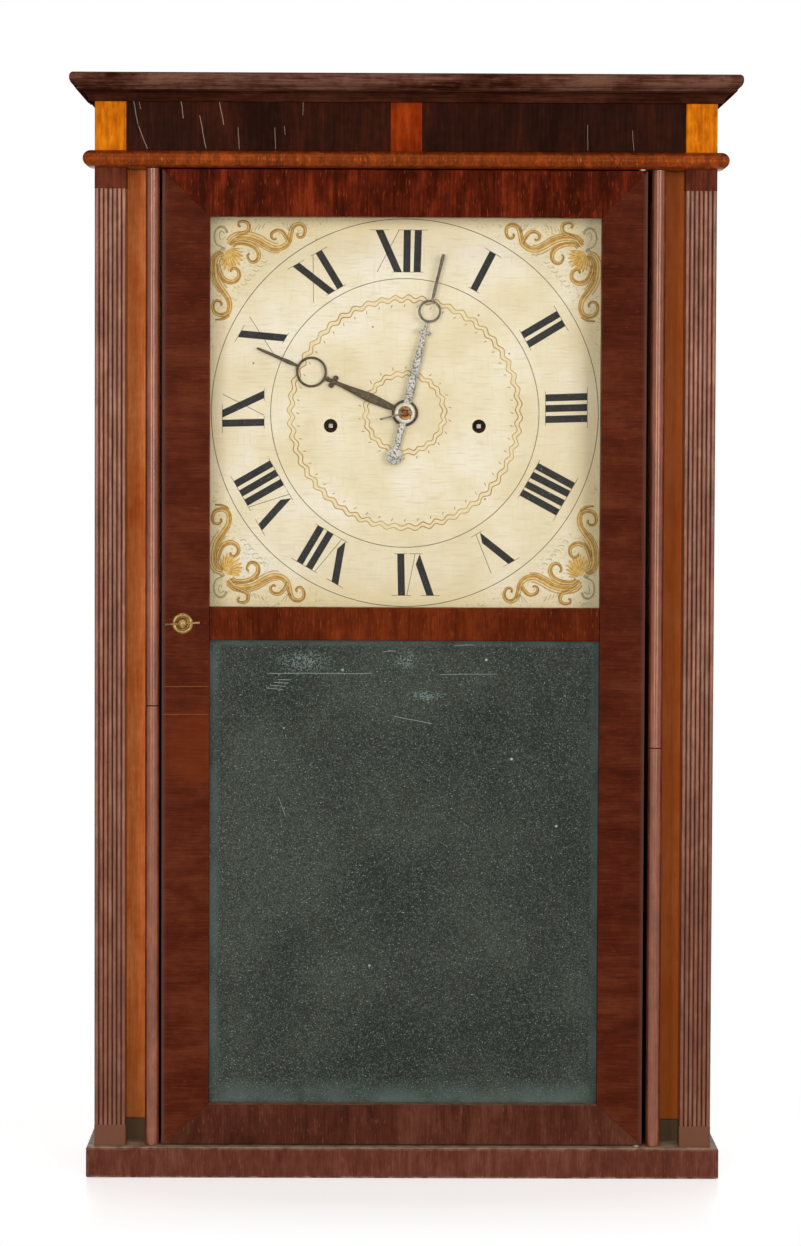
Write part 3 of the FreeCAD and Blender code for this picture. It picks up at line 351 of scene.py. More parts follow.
def old_metal(name, bright, dull, pit, roughness, pit_size=1.6, pitted=0.6, metallic=0.9):
    """Hand-worked metal with slow changes of tone and corroded pits that lose the shine."""
    material, tree, shader, coords = new_finish(name)
    cloudy = add(tree, "TexNoise", {"Vector": coords, "Scale": 1 / (7 * MM), "Detail": 4.0}).outputs["Fac"]
    tone = add(tree, "MapRange", {"Value": cloudy, "From Min": 0.36, "From Max": 0.64}).outputs[0]
    metal = add(tree, "Mix", {0: tone, 6: linear(dull), 7: linear(bright)}, data_type="RGBA").outputs[2]
    spots = add(tree, "TexNoise", {"Vector": coords, "Scale": 1 / (pit_size * MM),
                                   "Detail": 2.0}).outputs["Fac"]
    eaten = add(tree, "MapRange", {"Value": spots, "From Min": 1 - pitted,
                                   "From Max": 1.08 - pitted}).outputs[0]
    metal = add(tree, "Mix", {0: eaten, 6: metal, 7: linear(pit)}, data_type="RGBA").outputs[2]
    shine = add(tree, "MapRange", {"Value": eaten, "To Min": metallic,
                                   "To Max": 0.35 * metallic}).outputs[0]
    rough = add(tree, "MapRange", {"Value": eaten, "To Min": roughness,
                                   "To Max": roughness + 0.25}).outputs[0]
    bump = add(tree, "Bump", {"Strength": 0.35, "Distance": 0.2 * MM, "Height": spots},
               invert=True).outputs[0]
    feed(tree, shader, {"Base Color": metal, "Metallic": shine, "Roughness": rough, "Normal": bump})
    return material


def brushed_paint(name, body_colour, pale, loss, patch):
    """Oil paint laid on by brush: two mixed tones, and small flakes lost down to the ground colour."""
    material, tree, shader, coords = new_finish(name)
    mixed = add(tree, "TexNoise", {"Vector": coords, "Scale": 1 / (patch * MM),
                                   "Detail": 3.0}).outputs["Fac"]
    tone = add(tree, "MapRange", {"Value": mixed, "From Min": 0.35, "From Max": 0.65}).outputs[0]
    paint = add(tree, "Mix", {0: tone, 6: linear(body_colour), 7: linear(pale)},
                data_type="RGBA").outputs[2]
    if loss:
        chips = add(tree, "TexNoise", {"Vector": coords, "Scale": 1 / (1.5 * MM),
                                       "Detail": 2.0}).outputs["Fac"]
        flaked = add(tree, "MapRange", {"Value": chips, "From Min": 0.72, "From Max": 0.76}).outputs[0]
        paint = add(tree, "Mix", {0: flaked, 6: paint, 7: linear(loss)}, data_type="RGBA").outputs[2]
    feed(tree, shader, {"Base Color": paint, "Roughness": 0.55, "Specular IOR Level": 0.25})
    return material


def crazed_dial_paint(centre, ivory):
    """Ivory oil paint on pine, finely crazed along and across, yellowed at the edges; bare wood behind."""
    material, tree, shader, coords = new_finish("ivory_dial_paint")
    place = add(tree, "Mapping", {"Vector": coords, "Location": [-v * MM for v in centre]}).outputs[0]
    tone = grain_noise(tree, coords, (45.0, 45.0, 45.0), 3.0)
    paint = add(tree, "ValToRGB", {"Fac": tone},
                stops=[(0.34, "#efdfb6"), (0.5, ivory), (0.66, "#fbf1d8")]).outputs[0]
    # Fine crazing: lines of 1.6 mm along the board's grain, and fainter ones across it
    lines = grain_noise(tree, coords, (17.0, 17.0, 1.6), 3.0, 0.3)
    lines = add(tree, "MapRange", {"Value": lines, "From Min": 0.5, "From Max": 0.7,
                                   "To Max": 0.5}).outputs[0]
    weave = grain_noise(tree, coords, (1.8, 20.0, 20.0), 3.0, 0.3)
    weave = add(tree, "MapRange", {"Value": weave, "From Min": 0.54, "From Max": 0.74,
                                   "To Max": 0.35}).outputs[0]
    crazed = add(tree, "Math", {0: lines, 1: weave}, operation="MAXIMUM").outputs[0]
    # Yellowed varnish towards the edges of the board
    apart = add(tree, "SeparateXYZ", {0: place})
    across = add(tree, "Math", {0: apart.outputs["X"]}, operation="ABSOLUTE").outputs[0]
    along = add(tree, "Math", {0: apart.outputs["Z"]}, operation="ABSOLUTE").outputs[0]
    outer = add(tree, "Math", {0: across, 1: along}, operation="MAXIMUM").outputs[0]
    yellow = add(tree, "MapRange", {"Value": outer, "From Min": 128 * MM, "From Max": 154 * MM,
                                    "To Max": 0.6}).outputs[0]
    # Fly specks: one small dark dot in a few of the cells of a 22 mm net
    speck = add(tree, "TexVoronoi", {"Vector": coords, "Scale": 1 / (22 * MM)})
    tiny = add(tree, "MapRange", {"Value": speck.outputs["Distance"], "From Min": 0.04,
                                  "From Max": 0.025}).outputs[0]
    few = add(tree, "Math", {0: add(tree, "SeparateXYZ", {0: speck.outputs["Color"]}).outputs[0], 1: 0.55},
              operation="GREATER_THAN").outputs[0]
    tiny = add(tree, "Math", {0: tiny, 1: few}, operation="MULTIPLY").outputs[0]
    # Greenish stipple left by the brush round the corner ornament, beyond the outer circle
    radius = add(tree, "VectorMath", {0: place}, operation="LENGTH").outputs["Value"]
    corner = add(tree, "MapRange", {"Value": radius, "From Min": 154 * MM, "From Max": 162 * MM}).outputs[0]
    grit = grain_noise(tree, coords, (2.0, 2.0, 2.0))
    dots = add(tree, "MapRange", {"Value": grit, "From Min": 0.58, "From Max": 0.68,
                                  "To Max": 0.5}).outputs[0]
    dots = add(tree, "Math", {0: dots, 1: corner}, operation="MULTIPLY").outputs[0]
    # Bare pine behind; near-black painted shade on the walls of the holes and the board's other side faces,
    # by the direction of the surface
    facing = add(tree, "SeparateXYZ", {0: add(tree, "NewGeometry").outputs["Normal"]}).outputs["Y"]
    behind = add(tree, "MapRange", {"Value": facing, "From Min": 0.4, "From Max": 0.6}).outputs[0]
    pine = add(tree, "ValToRGB", {"Fac": grain_noise(tree, coords, (60.0, 4.0, 4.0), 3.0)},
               stops=[(0.35, "#6a4a2a"), (0.65, "#96703f")]).outputs[0]
    bore = add(tree, "MapRange", {"Value": facing, "From Min": -0.6, "From Max": -0.4}).outputs[0]
    for share, colour in ((crazed, "#dfcd9f"), (yellow, "#f5dda4"), (tiny, "#6b5a3c"), (dots, "#b9ad7e"),
                          (bore, "#130d08")):
        paint = add(tree, "Mix", {0: share, 6: paint, 7: linear(colour)}, data_type="RGBA").outputs[2]
    paint = add(tree, "Mix", {0: behind, 6: paint, 7: pine}, data_type="RGBA").outputs[2]
    bump = add(tree, "Bump", {"Strength": 0.2, "Distance": 0.08 * MM, "Height": crazed},
               invert=True).outputs[0]
    feed(tree, shader, {"Base Color": paint, "Normal": bump, "Roughness": 0.5, "Specular IOR Level": 0.25})
    return material


def clear_glass():
    """Old window glass over the dial: almost unseen, with a faint even reflection."""
    material, tree, shader, coords = new_finish("old_window_glass")
    ripple = add(tree, "TexNoise", {"Vector": coords, "Scale": 1 / (70 * MM), "Detail": 1.0}).outputs["Fac"]
    bump = add(tree, "Bump", {"Strength": 0.08, "Distance": 0.5 * MM, "Height": ripple}).outputs[0]
    feed(tree, shader, {"Base Color": linear("#20221e"), "Normal": bump, "Roughness": 0.04, "Alpha": 0.04})
    return material


def foxed_mirror(low, high, silvering_and_reflection):
    """Tin-amalgam mirror, foxed: its dark grey-green ground is partly the old silvering and partly a painted
    reflection of a dark room, with little real reflection; dense specks, hazy margins, scuffs and scratches.
    """
    material, tree, shader, coords = new_finish("foxed_mirror")
    place = add(tree, "Mapping", {"Vector": coords,
                                  "Location": [-low[0] * MM, 0, -high[2] * MM]}).outputs[0]
    # The dark ground: foxed silvering, and a painted reflection of a dark room
    cloud = grain_noise(tree, coords, (80.0, 80.0, 80.0), 3.0)
    silver_and_reflection = add(tree, "ValToRGB", {"Fac": cloud},
                 stops=[(0.36, "#272b24"), (0.5, silvering_and_reflection), (0.64, "#3b4037")]).outputs[0]
    # Specks of lifted and of lost amalgam, about 0.9 mm, and a few bare ones
    grit = grain_noise(tree, coords, (0.9, 0.9, 0.9), 3.0)
    light = add(tree, "MapRange", {"Value": grit, "From Min": 0.5, "From Max": 0.78,
                                   "To Max": 0.75}).outputs[0]
    dark = add(tree, "MapRange", {"Value": grit, "From Min": 0.5, "From Max": 0.25,
                                  "To Max": 0.75}).outputs[0]
    specks = grain_noise(tree, coords, (1.1, 1.1, 1.1), 0.0)
    bare = add(tree, "MapRange", {"Value": specks, "From Min": 0.74, "From Max": 0.8,
                                  "To Max": 0.8}).outputs[0]
    # Hazy margins, widest at the left and at the bottom
    size = high - low
    apart = add(tree, "SeparateXYZ", {0: place})
    margin = 0.0
    for axis, edge, width in (("X", 6.0, 9.0), ("X", size[0] - 6, -7.0), ("Z", -6.0, -6.0),
                              ("Z", 6 - size[2], 20.0)):
        haze = add(tree, "MapRange", {"Value": apart.outputs[axis], "From Min": (edge + width) * MM,
                                      "From Max": (edge + 0.1 * width) * MM, "To Max": 0.8}).outputs[0]
        margin = add(tree, "Math", {0: haze, 1: margin}, operation="MAXIMUM").outputs[0]
    uneven = add(tree, "MapRange", {"Value": grain_noise(tree, coords, (30.0, 30.0, 30.0), 4.0),
                                    "From Min": 0.36, "From Max": 0.62, "To Min": 0.3}).outputs[0]
    margin = add(tree, "Math", {0: margin, 1: uneven}, operation="MULTIPLY").outputs[0]
    layers = [(light, "#69716a"), (dark, "#181b16"), (bare, "#97a298"), (margin, "#586660")]
    # Scuffed patches and a few scratches below the top edge
    torn = add(tree, "MapRange", {"Value": grit, "From Min": 0.46, "From Max": 0.6}).outputs[0]
    for x, z, wide, tall in ((80.0, -23.0, 26.0, 11.0), (160.0, -22.0, 11.0, 9.0),
                             (176.0, -50.0, 16.0, 5.0)):
        off = add(tree, "VectorMath", {0: place, 1: (x * MM, 0, z * MM)}, operation="SUBTRACT").outputs[0]
        off = add(tree, "VectorMath", {0: off, 1: (1 / (wide * MM), 0, 1 / (tall * MM))},
                  operation="MULTIPLY").outputs[0]
        away = add(tree, "VectorMath", {0: off}, operation="LENGTH").outputs["Value"]
        patch = add(tree, "MapRange", {"Value": away, "From Min": 1.0, "From Max": 0.2,
                                       "To Max": 0.8}).outputs[0]
        patch = add(tree, "Math", {0: patch, 1: torn}, operation="MULTIPLY").outputs[0]
        layers.append((patch, "#7b8985"))
    hatch = [((50 + 3 * k, -44 + 2.2 * k), (64 + 2 * k, -45.5 + 2.6 * k), 0.28) for k in range(4)]
    long = [((49, -32.6), (135, -32.4), 0.28), ((186, -33), (232, -32.6), 0.25),
            ((142, -15), (152, -14.4), 0.3), ((198, -10), (214, -9.6), 0.25),
            ((151, -66), (181.5, -72), 0.28), ((60, -130), (66, -146), 0.25)]
    layers += [(thin_mark(tree, place, *mark), "#97a39c") for mark in hatch + long]
    # Bare dots, one in each cell of a 30 mm net
    spot = add(tree, "TexVoronoi", {"Vector": coords, "Scale": 1 / (30 * MM)}).outputs["Distance"]
    white = add(tree, "MapRange", {"Value": spot, "From Min": 0.045, "From Max": 0.015,
                                   "To Max": 0.9}).outputs[0]
    layers.append((white, "#b9cdc4"))
    for share, colour in layers:
        silver_and_reflection = add(tree, "Mix", {0: share, 6: silver_and_reflection, 7: linear(colour)}, data_type="RGBA").outputs[2]
    feed(tree, shader, {"Base Color": silver_and_reflection, "Roughness": 0.2, "Specular IOR Level": 0.1})
    return material


# Settings that a user would change

class ClockCaseSettings(bpy.types.PropertyGroup):
    """Sizes and softness of the case's woodwork."""
    plinth_round: bpy.props.FloatProperty(
        name="Plinth Edge", description="Rounding of the plinth's upper edge", default=0.0018,
        unit="LENGTH")
    plinth_corner: bpy.props.FloatProperty(
        name="Plinth Corner", description="Rounding of the plinth's front corners", default=0.0025,
        unit="LENGTH")
    ease: bpy.props.FloatProperty(
        name="Eased Edge", description="Rounding of sawn and planed edges", default=0.0005, unit="LENGTH")
    reeds: bpy.props.IntProperty(name="Reeds", description="Reeds across a pilaster", default=7)
    reed_depth: bpy.props.FloatProperty(
        name="Reed Depth", description="Depth of the hollows between reeds", default=0.0016, unit="LENGTH")
    pilaster_block: bpy.props.FloatProperty(
        name="Plain Block", description="Plain length at each end of a pilaster", default=0.0165,
        unit="LENGTH")
    foot_block: bpy.props.FloatProperty(
        name="Foot Block", description="Height of the dusty block in each recess", default=0.0167,
        unit="LENGTH")
    pilaster_width: bpy.props.FloatProperty(
        name="Pilaster", description="Width of a pilaster", default=0.0245, unit="LENGTH")
    column_width: bpy.props.FloatProperty(
        name="Column", description="Width of a slim column", default=0.011, unit="LENGTH")
    left_joint: bpy.props.FloatProperty(
        name="Left Joint", description="Height of the left column's joint", default=0.371, unit="LENGTH")
    right_joint: bpy.props.FloatProperty(
        name="Right Joint", description="Height of the right column's joint", default=0.339, unit="LENGTH")
    door_ease: bpy.props.FloatProperty(
        name="Door Edge", description="Rounding of the door's front edges", default=0.0012, unit="LENGTH")


class ClockDialSettings(bpy.types.PropertyGroup):
    """Sizes of the painted dial."""
    outer_circle: bpy.props.FloatProperty(
        name="Outer Circle", description="Radius of the line outside the numerals", default=0.1529,
        unit="LENGTH")
    inner_circle: bpy.props.FloatProperty(
        name="Inner Circle", description="Radius of the line inside the numerals", default=0.106,
        unit="LENGTH")
    numeral_foot: bpy.props.FloatProperty(
        name="Numeral Foot", description="Radius where the numerals start", default=0.1113, unit="LENGTH")
    numeral_head: bpy.props.FloatProperty(
        name="Numeral Head", description="Radius where the numerals end", default=0.144, unit="LENGTH")
    stroke: bpy.props.FloatProperty(
        name="Thick Stroke", description="Width of a numeral's thick stroke", default=0.0056, unit="LENGTH")
    hairline: bpy.props.FloatProperty(
        name="Hairline", description="Width of circles, serifs and thin strokes", default=0.0006,
        unit="LENGTH")
    paint_height: bpy.props.FloatProperty(
        name="Paint", description="Height of a brush line above the board", default=0.0001, unit="LENGTH")


class ClockHandSettings(bpy.types.PropertyGroup):
    """Angles and sizes of the hands."""
    minute_angle: bpy.props.FloatProperty(
        name="Minute Hand", description="Clockwise from twelve", default=math.radians(13.45),
        subtype="ANGLE")
    hour_angle: bpy.props.FloatProperty(
        name="Hour Hand", description="Clockwise from twelve", default=math.radians(293.5), subtype="ANGLE")
    wire: bpy.props.FloatProperty(
        name="Ring Wire", description="Thickness of the pierced rings", default=0.0019, unit="LENGTH")


class ClockColourSettings(bpy.types.PropertyGroup):
    """Main colours of the paint, the inlay and the mirror."""
    ivory: bpy.props.FloatVectorProperty(
        name="Dial", description="Ivory paint of the dial", default=linear("#f6e8c4")[:3], subtype="COLOR")
    ink: bpy.props.FloatVectorProperty(
        name="Numerals", description="Charcoal paint of the numerals", default=linear("#22211f")[:3],
        subtype="COLOR")
    gold: bpy.props.FloatVectorProperty(
        name="Scrolls", description="Ochre paint of the corner scrolls", default=linear("#cd963c")[:3],
        subtype="COLOR")
    amber: bpy.props.FloatVectorProperty(
        name="End Blocks", description="Maple of the frieze's ends", default=linear("#c46604")[:3],
        subtype="COLOR")
    veneer: bpy.props.FloatVectorProperty(
        name="Veneer", description="Dark veneer of the frieze", default=linear("#2c1107")[:3],
        subtype="COLOR")
    rail: bpy.props.FloatVectorProperty(
        name="Door Rail", description="Mahogany of the door's top rail", default=linear("#511706")[:3],
        subtype="COLOR")
    stile: bpy.props.FloatVectorProperty(
        name="Door Stiles", description="Mahogany of the door's stiles", default=linear("#4e1e0f")[:3],
        subtype="COLOR")
    silvering_and_reflection: bpy.props.FloatVectorProperty(
        name="Mirror", description="Dark silvering of the mirror", default=linear("#31352d")[:3],
        subtype="COLOR")


class ClockStageSettings(bpy.types.PropertyGroup):
    """Camera and lights."""
    eye: bpy.props.FloatVectorProperty(
        name="Eye", description="Where the camera stands", default=(-0.0257, -3.2, 0.5862),
        subtype="TRANSLATION")
    yaw: bpy.props.FloatProperty(name="Yaw", description="Turn to the right", default=0.0072,
                                 subtype="ANGLE")
    pitch: bpy.props.FloatProperty(name="Pitch", description="Tilt downwards", default=0.0475,
                                   subtype="ANGLE")
    roll: bpy.props.FloatProperty(name="Roll", description="Turn about the view", default=0.004,
                                  subtype="ANGLE")
    lens: bpy.props.FloatProperty(name="Lens",
                                  description="Focal length in millimetres on a 36 mm high film",
                                  default=116.25)
    key: bpy.props.FloatProperty(name="Key", description="Power of the right front light", default=18.0,
                                 unit="POWER")
    fill: bpy.props.FloatProperty(name="Fill", description="Power of the front light", default=25.0,
                                  unit="POWER")
    strip: bpy.props.FloatProperty(
        name="Strip", description="Power of each upright strip beside the camera", default=17.0,
        unit="POWER")
    ambient: bpy.props.FloatProperty(name="Ambient", description="Level of the surrounding light",
                                     default=0.22)


# The case

def case_lines():
    """The lines of the case that several pieces share, in millimetres."""
    low, high = span("pilasters")
    return {"half": high[0], "front": low[1], "back": span("side_boards")[1][1]}


class CLOCK_OT_top_and_base(bpy.types.Operator):
    """Add the plinth, the cornice board and the cove under it"""
    bl_idname = "clock.top_and_base"
    bl_label = "Top and Base"

    def execute(self, context):
        case = context.scene.clock_case
        lines = case_lines()
        turn = np.linspace(0, np.pi / 2, 6)
        low, high = span("plinth_board")
        edge = case.plinth_round / MM
        chamfer = 0.6
        foot = [(chamfer, low[2]), (0.0, low[2] + chamfer)]
        rim = list(zip(edge * (1 - np.cos(turn)), high[2] - edge * (1 - np.sin(turn))))
        # Solid mahogany, hardly polished: dull, rubbed pale along its edge, with dust on its top whose colour
        # is also lifted as painted light against the grazing light there
        base = polished_wood("plinth_mahogany", "#4c2217", "#623427", "#78493b", "Z", fibre=1.3, figure=9.0,
                             contrast=0.6, gloss=0.36, fleck="#84452f", worn="#c8ac96", worn_width=2.2,
                             dust_and_painted_light="#b0967c")
        add_piece("plinth", [moulded_slab(foot + rim, low, high, case.plinth_corner / MM)], base, "case",
                  "case_mahogany", "plinth_board")

        low, high = span("cornice_board")
        step = high[0] - lines["half"]
        foot, corner = low[2], 0.8
        fillet = [(0.26 * step, foot), (0.23 * step, foot + 0.9), (0.29 * step, foot + 1.2),
                  (0.29 * step, foot + 2.0)]
        nose = smooth([(0.2 * step, foot + 2.4), (0.1 * step, foot + 3.8), (0.03 * step, foot + 5.8),
                       (0.0, foot + 8.5), (0.03 * step, high[2] - 1.4), (0.12 * step, high[2])], 4).tolist()
        # Mahogany with old dirt in its grain: dark, streaky and without shine
        finish = polished_wood("cornice_mahogany", "#2f140b", "#502e22", "#6e4a3c", "X", figure=20.0,
                               contrast=1.4, gloss=0.26, shine=0.0, fleck="#7a4634", dust_and_painted_light="#5d4436")
        add_piece("cornice", [moulded_slab(fillet + nose, low, high, corner)], finish, "case",
                  "cornice_mahogany", "cornice_board", crease=50)

        low, high = span("cove_moulding")
        reach = high[0] - lines["half"]
        step, lip = 0.375 * reach, high[2] - 1.2
        sweep = np.linspace(0, np.pi / 2, 9)
        hollow = list(zip(step + (0.93 * reach - step) * (1 - np.cos(sweep)),
                          low[2] + (lip - low[2]) * np.sin(sweep)))
        profile = [(0.0, low[2])] + hollow + [(reach, lip), (reach, high[2]), (0.0, high[2])]
        # The same wood under the overhang, painted a darker brown as the shade that falls there
        finish = polished_wood("cove_mahogany", "#240e07", "#391a10", "#4d281b", "X", figure=22.0,
                               gloss=0.26, shine=0.0)
        add_piece("cove", [wrapped_moulding(profile, lines["half"], lines["front"], lines["back"])], finish,
                  "case", "cornice_mahogany", "cove_moulding")
        return {"FINISHED"}


class CLOCK_OT_frieze(bpy.types.Operator):
    """Add the astragal, the amber and red blocks and the two dark panels of the frieze"""
    bl_idname = "clock.frieze"
    bl_label = "Frieze"

    def execute(self, context):
        ease = context.scene.clock_case.ease / MM
        colours = context.scene.clock_colours
        lines = case_lines()
        low, high = span("astragal")
        reach = high[0] - lines["half"]
        nose = (high[2] - low[2]) / 2
        turn = np.linspace(-np.pi / 2, np.pi / 2, 25)
        round_bar = list(zip(reach - nose + nose * np.cos(turn),
                             (low[2] + high[2]) / 2 + nose * np.sin(turn)))
        profile = [(0.0, low[2])] + round_bar + [(0.0, high[2])]
        sharp = 0.01
        back_bar = face_board(np.array([-lines["half"], lines["front"], low[2]]),
                              np.array([lines["half"], high[1], high[2]]), sharp)
        # Mahogany under clear shellac: red-orange, with a warm line of light along the round
        finish = polished_wood("astragal_mahogany", "#3a0d00", "#682403", "#96400d", "Z", fibre=1.3,
                               figure=6.0, contrast=0.8, gloss=0.3, shine=0.7, tint="#ff9a5c",
                               fleck="#c05e20")
        round_front = wrapped_moulding(profile, lines["half"], lines["front"], high[1])
        add_piece("astragal_bar", [round_front, back_bar], finish, "case", "moulding_mahogany", "astragal")

        def blocks(box, *pairs):
            low, high = box
            return [face_board(np.array([left + BLOCK_GAP, low[1], low[2]]),
                               np.array([right - BLOCK_GAP, high[1], high[2]]), ease)
                    for left, right in pairs]

        inner = span("frieze_board")
        ends = span("frieze_end_blocks")
        shells = blocks(ends, (ends[0][0], inner[0][0]), (inner[1][0], ends[1][0]))
        # Stained maple: bright amber with small curls
        finish = polished_wood("amber_maple", "#9c4c00", colours.amber, "#dc800e", "Z", fibre=2.0,
                               figure=5.0, gloss=0.25)
        add_piece("frieze_ends", shells, finish, "case", "maple", "frieze_end_blocks")

        mid = span("frieze_centre_block")
        # Clear red-brown mahogany
        finish = polished_wood("frieze_centre_mahogany", "#681d02", "#832b06", "#9b3b0d", "Z", fibre=2.0,
                               figure=10.0)
        add_piece("frieze_centre", blocks(mid, (mid[0][0], mid[1][0])), finish, "case",
                  "case_mahogany", "frieze_centre_block")

        low, high = span("frieze_panels")
        top, foot = high[2] - 1.0, low[2] + 1.0
        scratches = (((-214.0, top), (-208.5, top - 26), 0.45), ((-208.5, top - 26), (-201.5, foot), 0.5),
                     ((-210.5, top), (-206.5, top - 14), 0.3), ((-176.0, top), (-173.5, top - 21), 0.5),
                     ((-161.0, top - 18), (-155.5, foot), 0.5), ((-146.5, top), (-142.0, top - 26), 0.5),
                     ((-131.0, top - 27), (-130.0, foot), 0.4), ((-102.4, top - 27), (-101.8, foot), 0.35),
                     ((-95.0, top - 26), (-94.4, top - 33), 0.3),
                     ((-80.2, top - 5), (-80.6, top - 18), 0.3),
                     ((141.0, top - 24), (141.4, foot), 0.3), ((176.0, top - 28), (177.0, foot), 0.3))
        # Dark-stained veneer: near black with a little red, scratched down to pale dust
        finish = polished_wood("black_mahogany_veneer", "#1d0802", colours.veneer, "#43180a", "Z",
                               fibre=1.6, figure=26.0, gloss=0.22, marks=scratches, mark_colour="#8a7666")
        shells = blocks((low, high), (low[0], mid[0][0]), (mid[1][0], high[0]))
        add_piece("frieze_veneers", shells, finish, "case", "panel_mahogany", "frieze_panels")
        dress(finish, "frieze_board")
        return {"FINISHED"}


def reeded_shaft(left, right, front, back, low, high, reeds, depth):
    """A plan with round reeds along its front, each a circular arc of a depth, carried straight upwards."""
    share = np.linspace(0, 1, reeds * 12 + 1)
    chord = (right - left) / reeds / 2
    radius = (chord ** 2 + depth ** 2) / (2 * depth)
    bow = np.sqrt(radius ** 2 - (chord * (2 * ((share * reeds) % 1.0) - 1)) ** 2) - (radius - depth)
    x = np.concatenate([left + share * (right - left), [right, left]])
    y = np.concatenate([front + depth - bow, [back, back]])
    return lofted([np.column_stack([x, y, np.full(len(x), height)]) for height in (low, high)])


def half_round_column(left, right, front, back, low, high, ease):
    """A half circle with straight flanks behind it, carried upwards and drawn in a little at both ends."""
    turn = np.linspace(0, np.pi, 33)
    nose = (right - left) / 2
    centre = (left + right) / 2
    x = np.concatenate([centre - nose * np.cos(turn), [right, left]]) - centre
    y = np.concatenate([front + nose - nose * np.sin(turn), [back, back]]) - back
    shrink = np.array([1 - ease / nose, 1, 1, 1 - ease / nose])[:, None]
    height = np.array([low, low + ease, high - ease, high])[:, None]
    return lofted(np.stack([centre + shrink * x, back + shrink * y, height + 0 * x], axis=-1))


class CLOCK_OT_columns(bpy.types.Operator):
    """Add the reeded pilasters and the slim columns, and finish the set-back strips and jambs between them"""
    bl_idname = "clock.columns"
    bl_label = "Columns"

    def execute(self, context):
        case = context.scene.clock_case
        low, high = span("pilasters")
        block, wide = case.pilaster_block / MM, case.pilaster_width / MM
        depth = case.reed_depth / MM
        # Reeds: pale where the light catches their crowns; painted shade darkens the hollows, the flanks
        # behind the reeds are a plainer darker brown, and the foot is darker and redder
        reeded = polished_wood("reeded_mahogany", "#6b3d2b", "#88553f", "#a3715b", "Z", figure=8.0,
                               contrast=0.8, coat=0.15, shine=0.2,
                               fades=(("Z", 420, 60, "#5e2c1a", 0.4),
                                      ("Y", low[1] + 0.1 * depth, low[1] + 0.9 * depth, "#35190e", 1.0),
                                      ("Y", low[1] + 1.2 * depth, low[1] + 1.6 * depth, "#6a3c2a", 1.0)))
        # Plain ends of the pilasters: red-brown above, paler with dust below
        plain = polished_wood("pilaster_block_mahogany", "#3c160a", "#542314", "#6a3320", "Z", fibre=1.6,
                              figure=9.0, gloss=0.36, dust_and_painted_light="#6b5646",
                              fades=(("Z", low[2] + 2 * block, low[2] + block, "#77503f", 0.8),))
        shafts, blocks = [], []
        for left in (low[0], high[0] - wide):
            shafts.append(reeded_shaft(left, left + wide, low[1], high[1], low[2] + block, high[2] - block,
                                       case.reeds, depth))
            for foot in (low[2], high[2] - block):
                blocks.append(face_board(np.array([left, low[1], foot]),
                                         np.array([left + wide, high[1], foot + block]), case.ease / MM))
        add_piece("reeded_pilasters", shafts, reeded, "case", "pilaster_mahogany", "pilasters", crease=50)
        add_piece("pilaster_blocks", blocks, plain, "case", "pilaster_mahogany")

        low, high = span("colonettes")
        wide = case.column_width / MM
        # Polished round mahogany: a warm bright line down its middle
        finish = polished_wood("column_mahogany", "#4a2012", "#6c3523", "#8a4c36", "Z", fibre=1.6,
                               figure=10.0, contrast=0.7, coat=0.2, shine=1.0, tint="#ffc4a4")
        shells = []
        for left, joint in ((low[0], case.left_joint / MM), (high[0] - wide, case.right_joint / MM)):
            for bottom, top in ((low[2], joint), (joint, high[2])):
                shells.append(half_round_column(left, left + wide, low[1], high[1], bottom, top,
                                                case.ease / MM))
        add_piece("slim_columns", shells, finish, "case", "case_mahogany", "colonettes")
        foot = span("recess_panels")[0][2] + case.foot_block / MM
        # Set-back strips of orange mahogany, lifted in colour as painted light for the light the deep slot
        # misses; painted shade makes them darker and redder to the right; darker towards the bottom, with a
        # dusty foot
        recess_shade_and_dust = (("X", -20, 20, "#a8501c", 0.7), ("Z", 150, 50, "#a85a1e", 0.6),
                  ("Z", foot + 1, foot, "#5e4a34", 1.0))
        dress(polished_wood("recess_mahogany", "#cc6228", "#e47c3e", "#f49256", "Z", fibre=1.6, gloss=0.34,
                            dust_and_painted_light="#8f7a66", fades=recess_shade_and_dust), "recess_panels")
        # Jambs in the door's shadow: plain dark mahogany
        dress(polished_wood("jamb_mahogany", "#3a170c", "#552616", "#6d3a26", "Z", gloss=0.34), "jambs")
        return {"FINISHED"}


class CLOCK_OT_boards(bpy.types.Operator):
    """Finish the plain boards of the case"""
    bl_idname = "clock.boards"
    bl_label = "Boards"

    def execute(self, context):
        # Plain mahogany sides, and pine that was left bare and has gone brown
        dress(polished_wood("side_mahogany", "#4c2413", "#68351f", "#80492e", "Z", figure=12.0,
                            contrast=0.7, gloss=0.4), "side_boards")
        dress(polished_wood("aged_pine", "#75512e", "#8f693f", "#a67e50", "Z", fibre=2.0, figure=9.0,
                            contrast=0.5, gloss=0.7), "back_board", "pulley_brackets", "mirror_backing")
        dress(polished_wood("aged_pine_rails", "#75512e", "#8f693f", "#a67e50", "X", fibre=2.0, figure=9.0,
                            contrast=0.5, gloss=0.7), "head_rail", "dial_glazing_strips")
        return {"FINISHED"}


# The door

def mitred_length(outer, inner, section, gap):
    """A section of (share across, depth) carried between two mitre lines, stopping a hair short of both.

    The point at a share across lies at that share of each mitre line.
    """
    outer, inner = np.asarray(outer, float), np.asarray(inner, float)
    across, depth = np.asarray(section, float).T
    ends = outer[:, None, :] + (inner - outer)[:, None, :] * across[None, :, None]
    short = gap / np.linalg.norm(outer[1] - outer[0])
    place = np.array([short, 1 - short])[:, None, None]
    flat = ends[0] * (1 - place) + ends[1] * place
    return lofted(np.stack([flat[..., 0], np.broadcast_to(depth, flat.shape[:2]), flat[..., 1]], axis=-1))


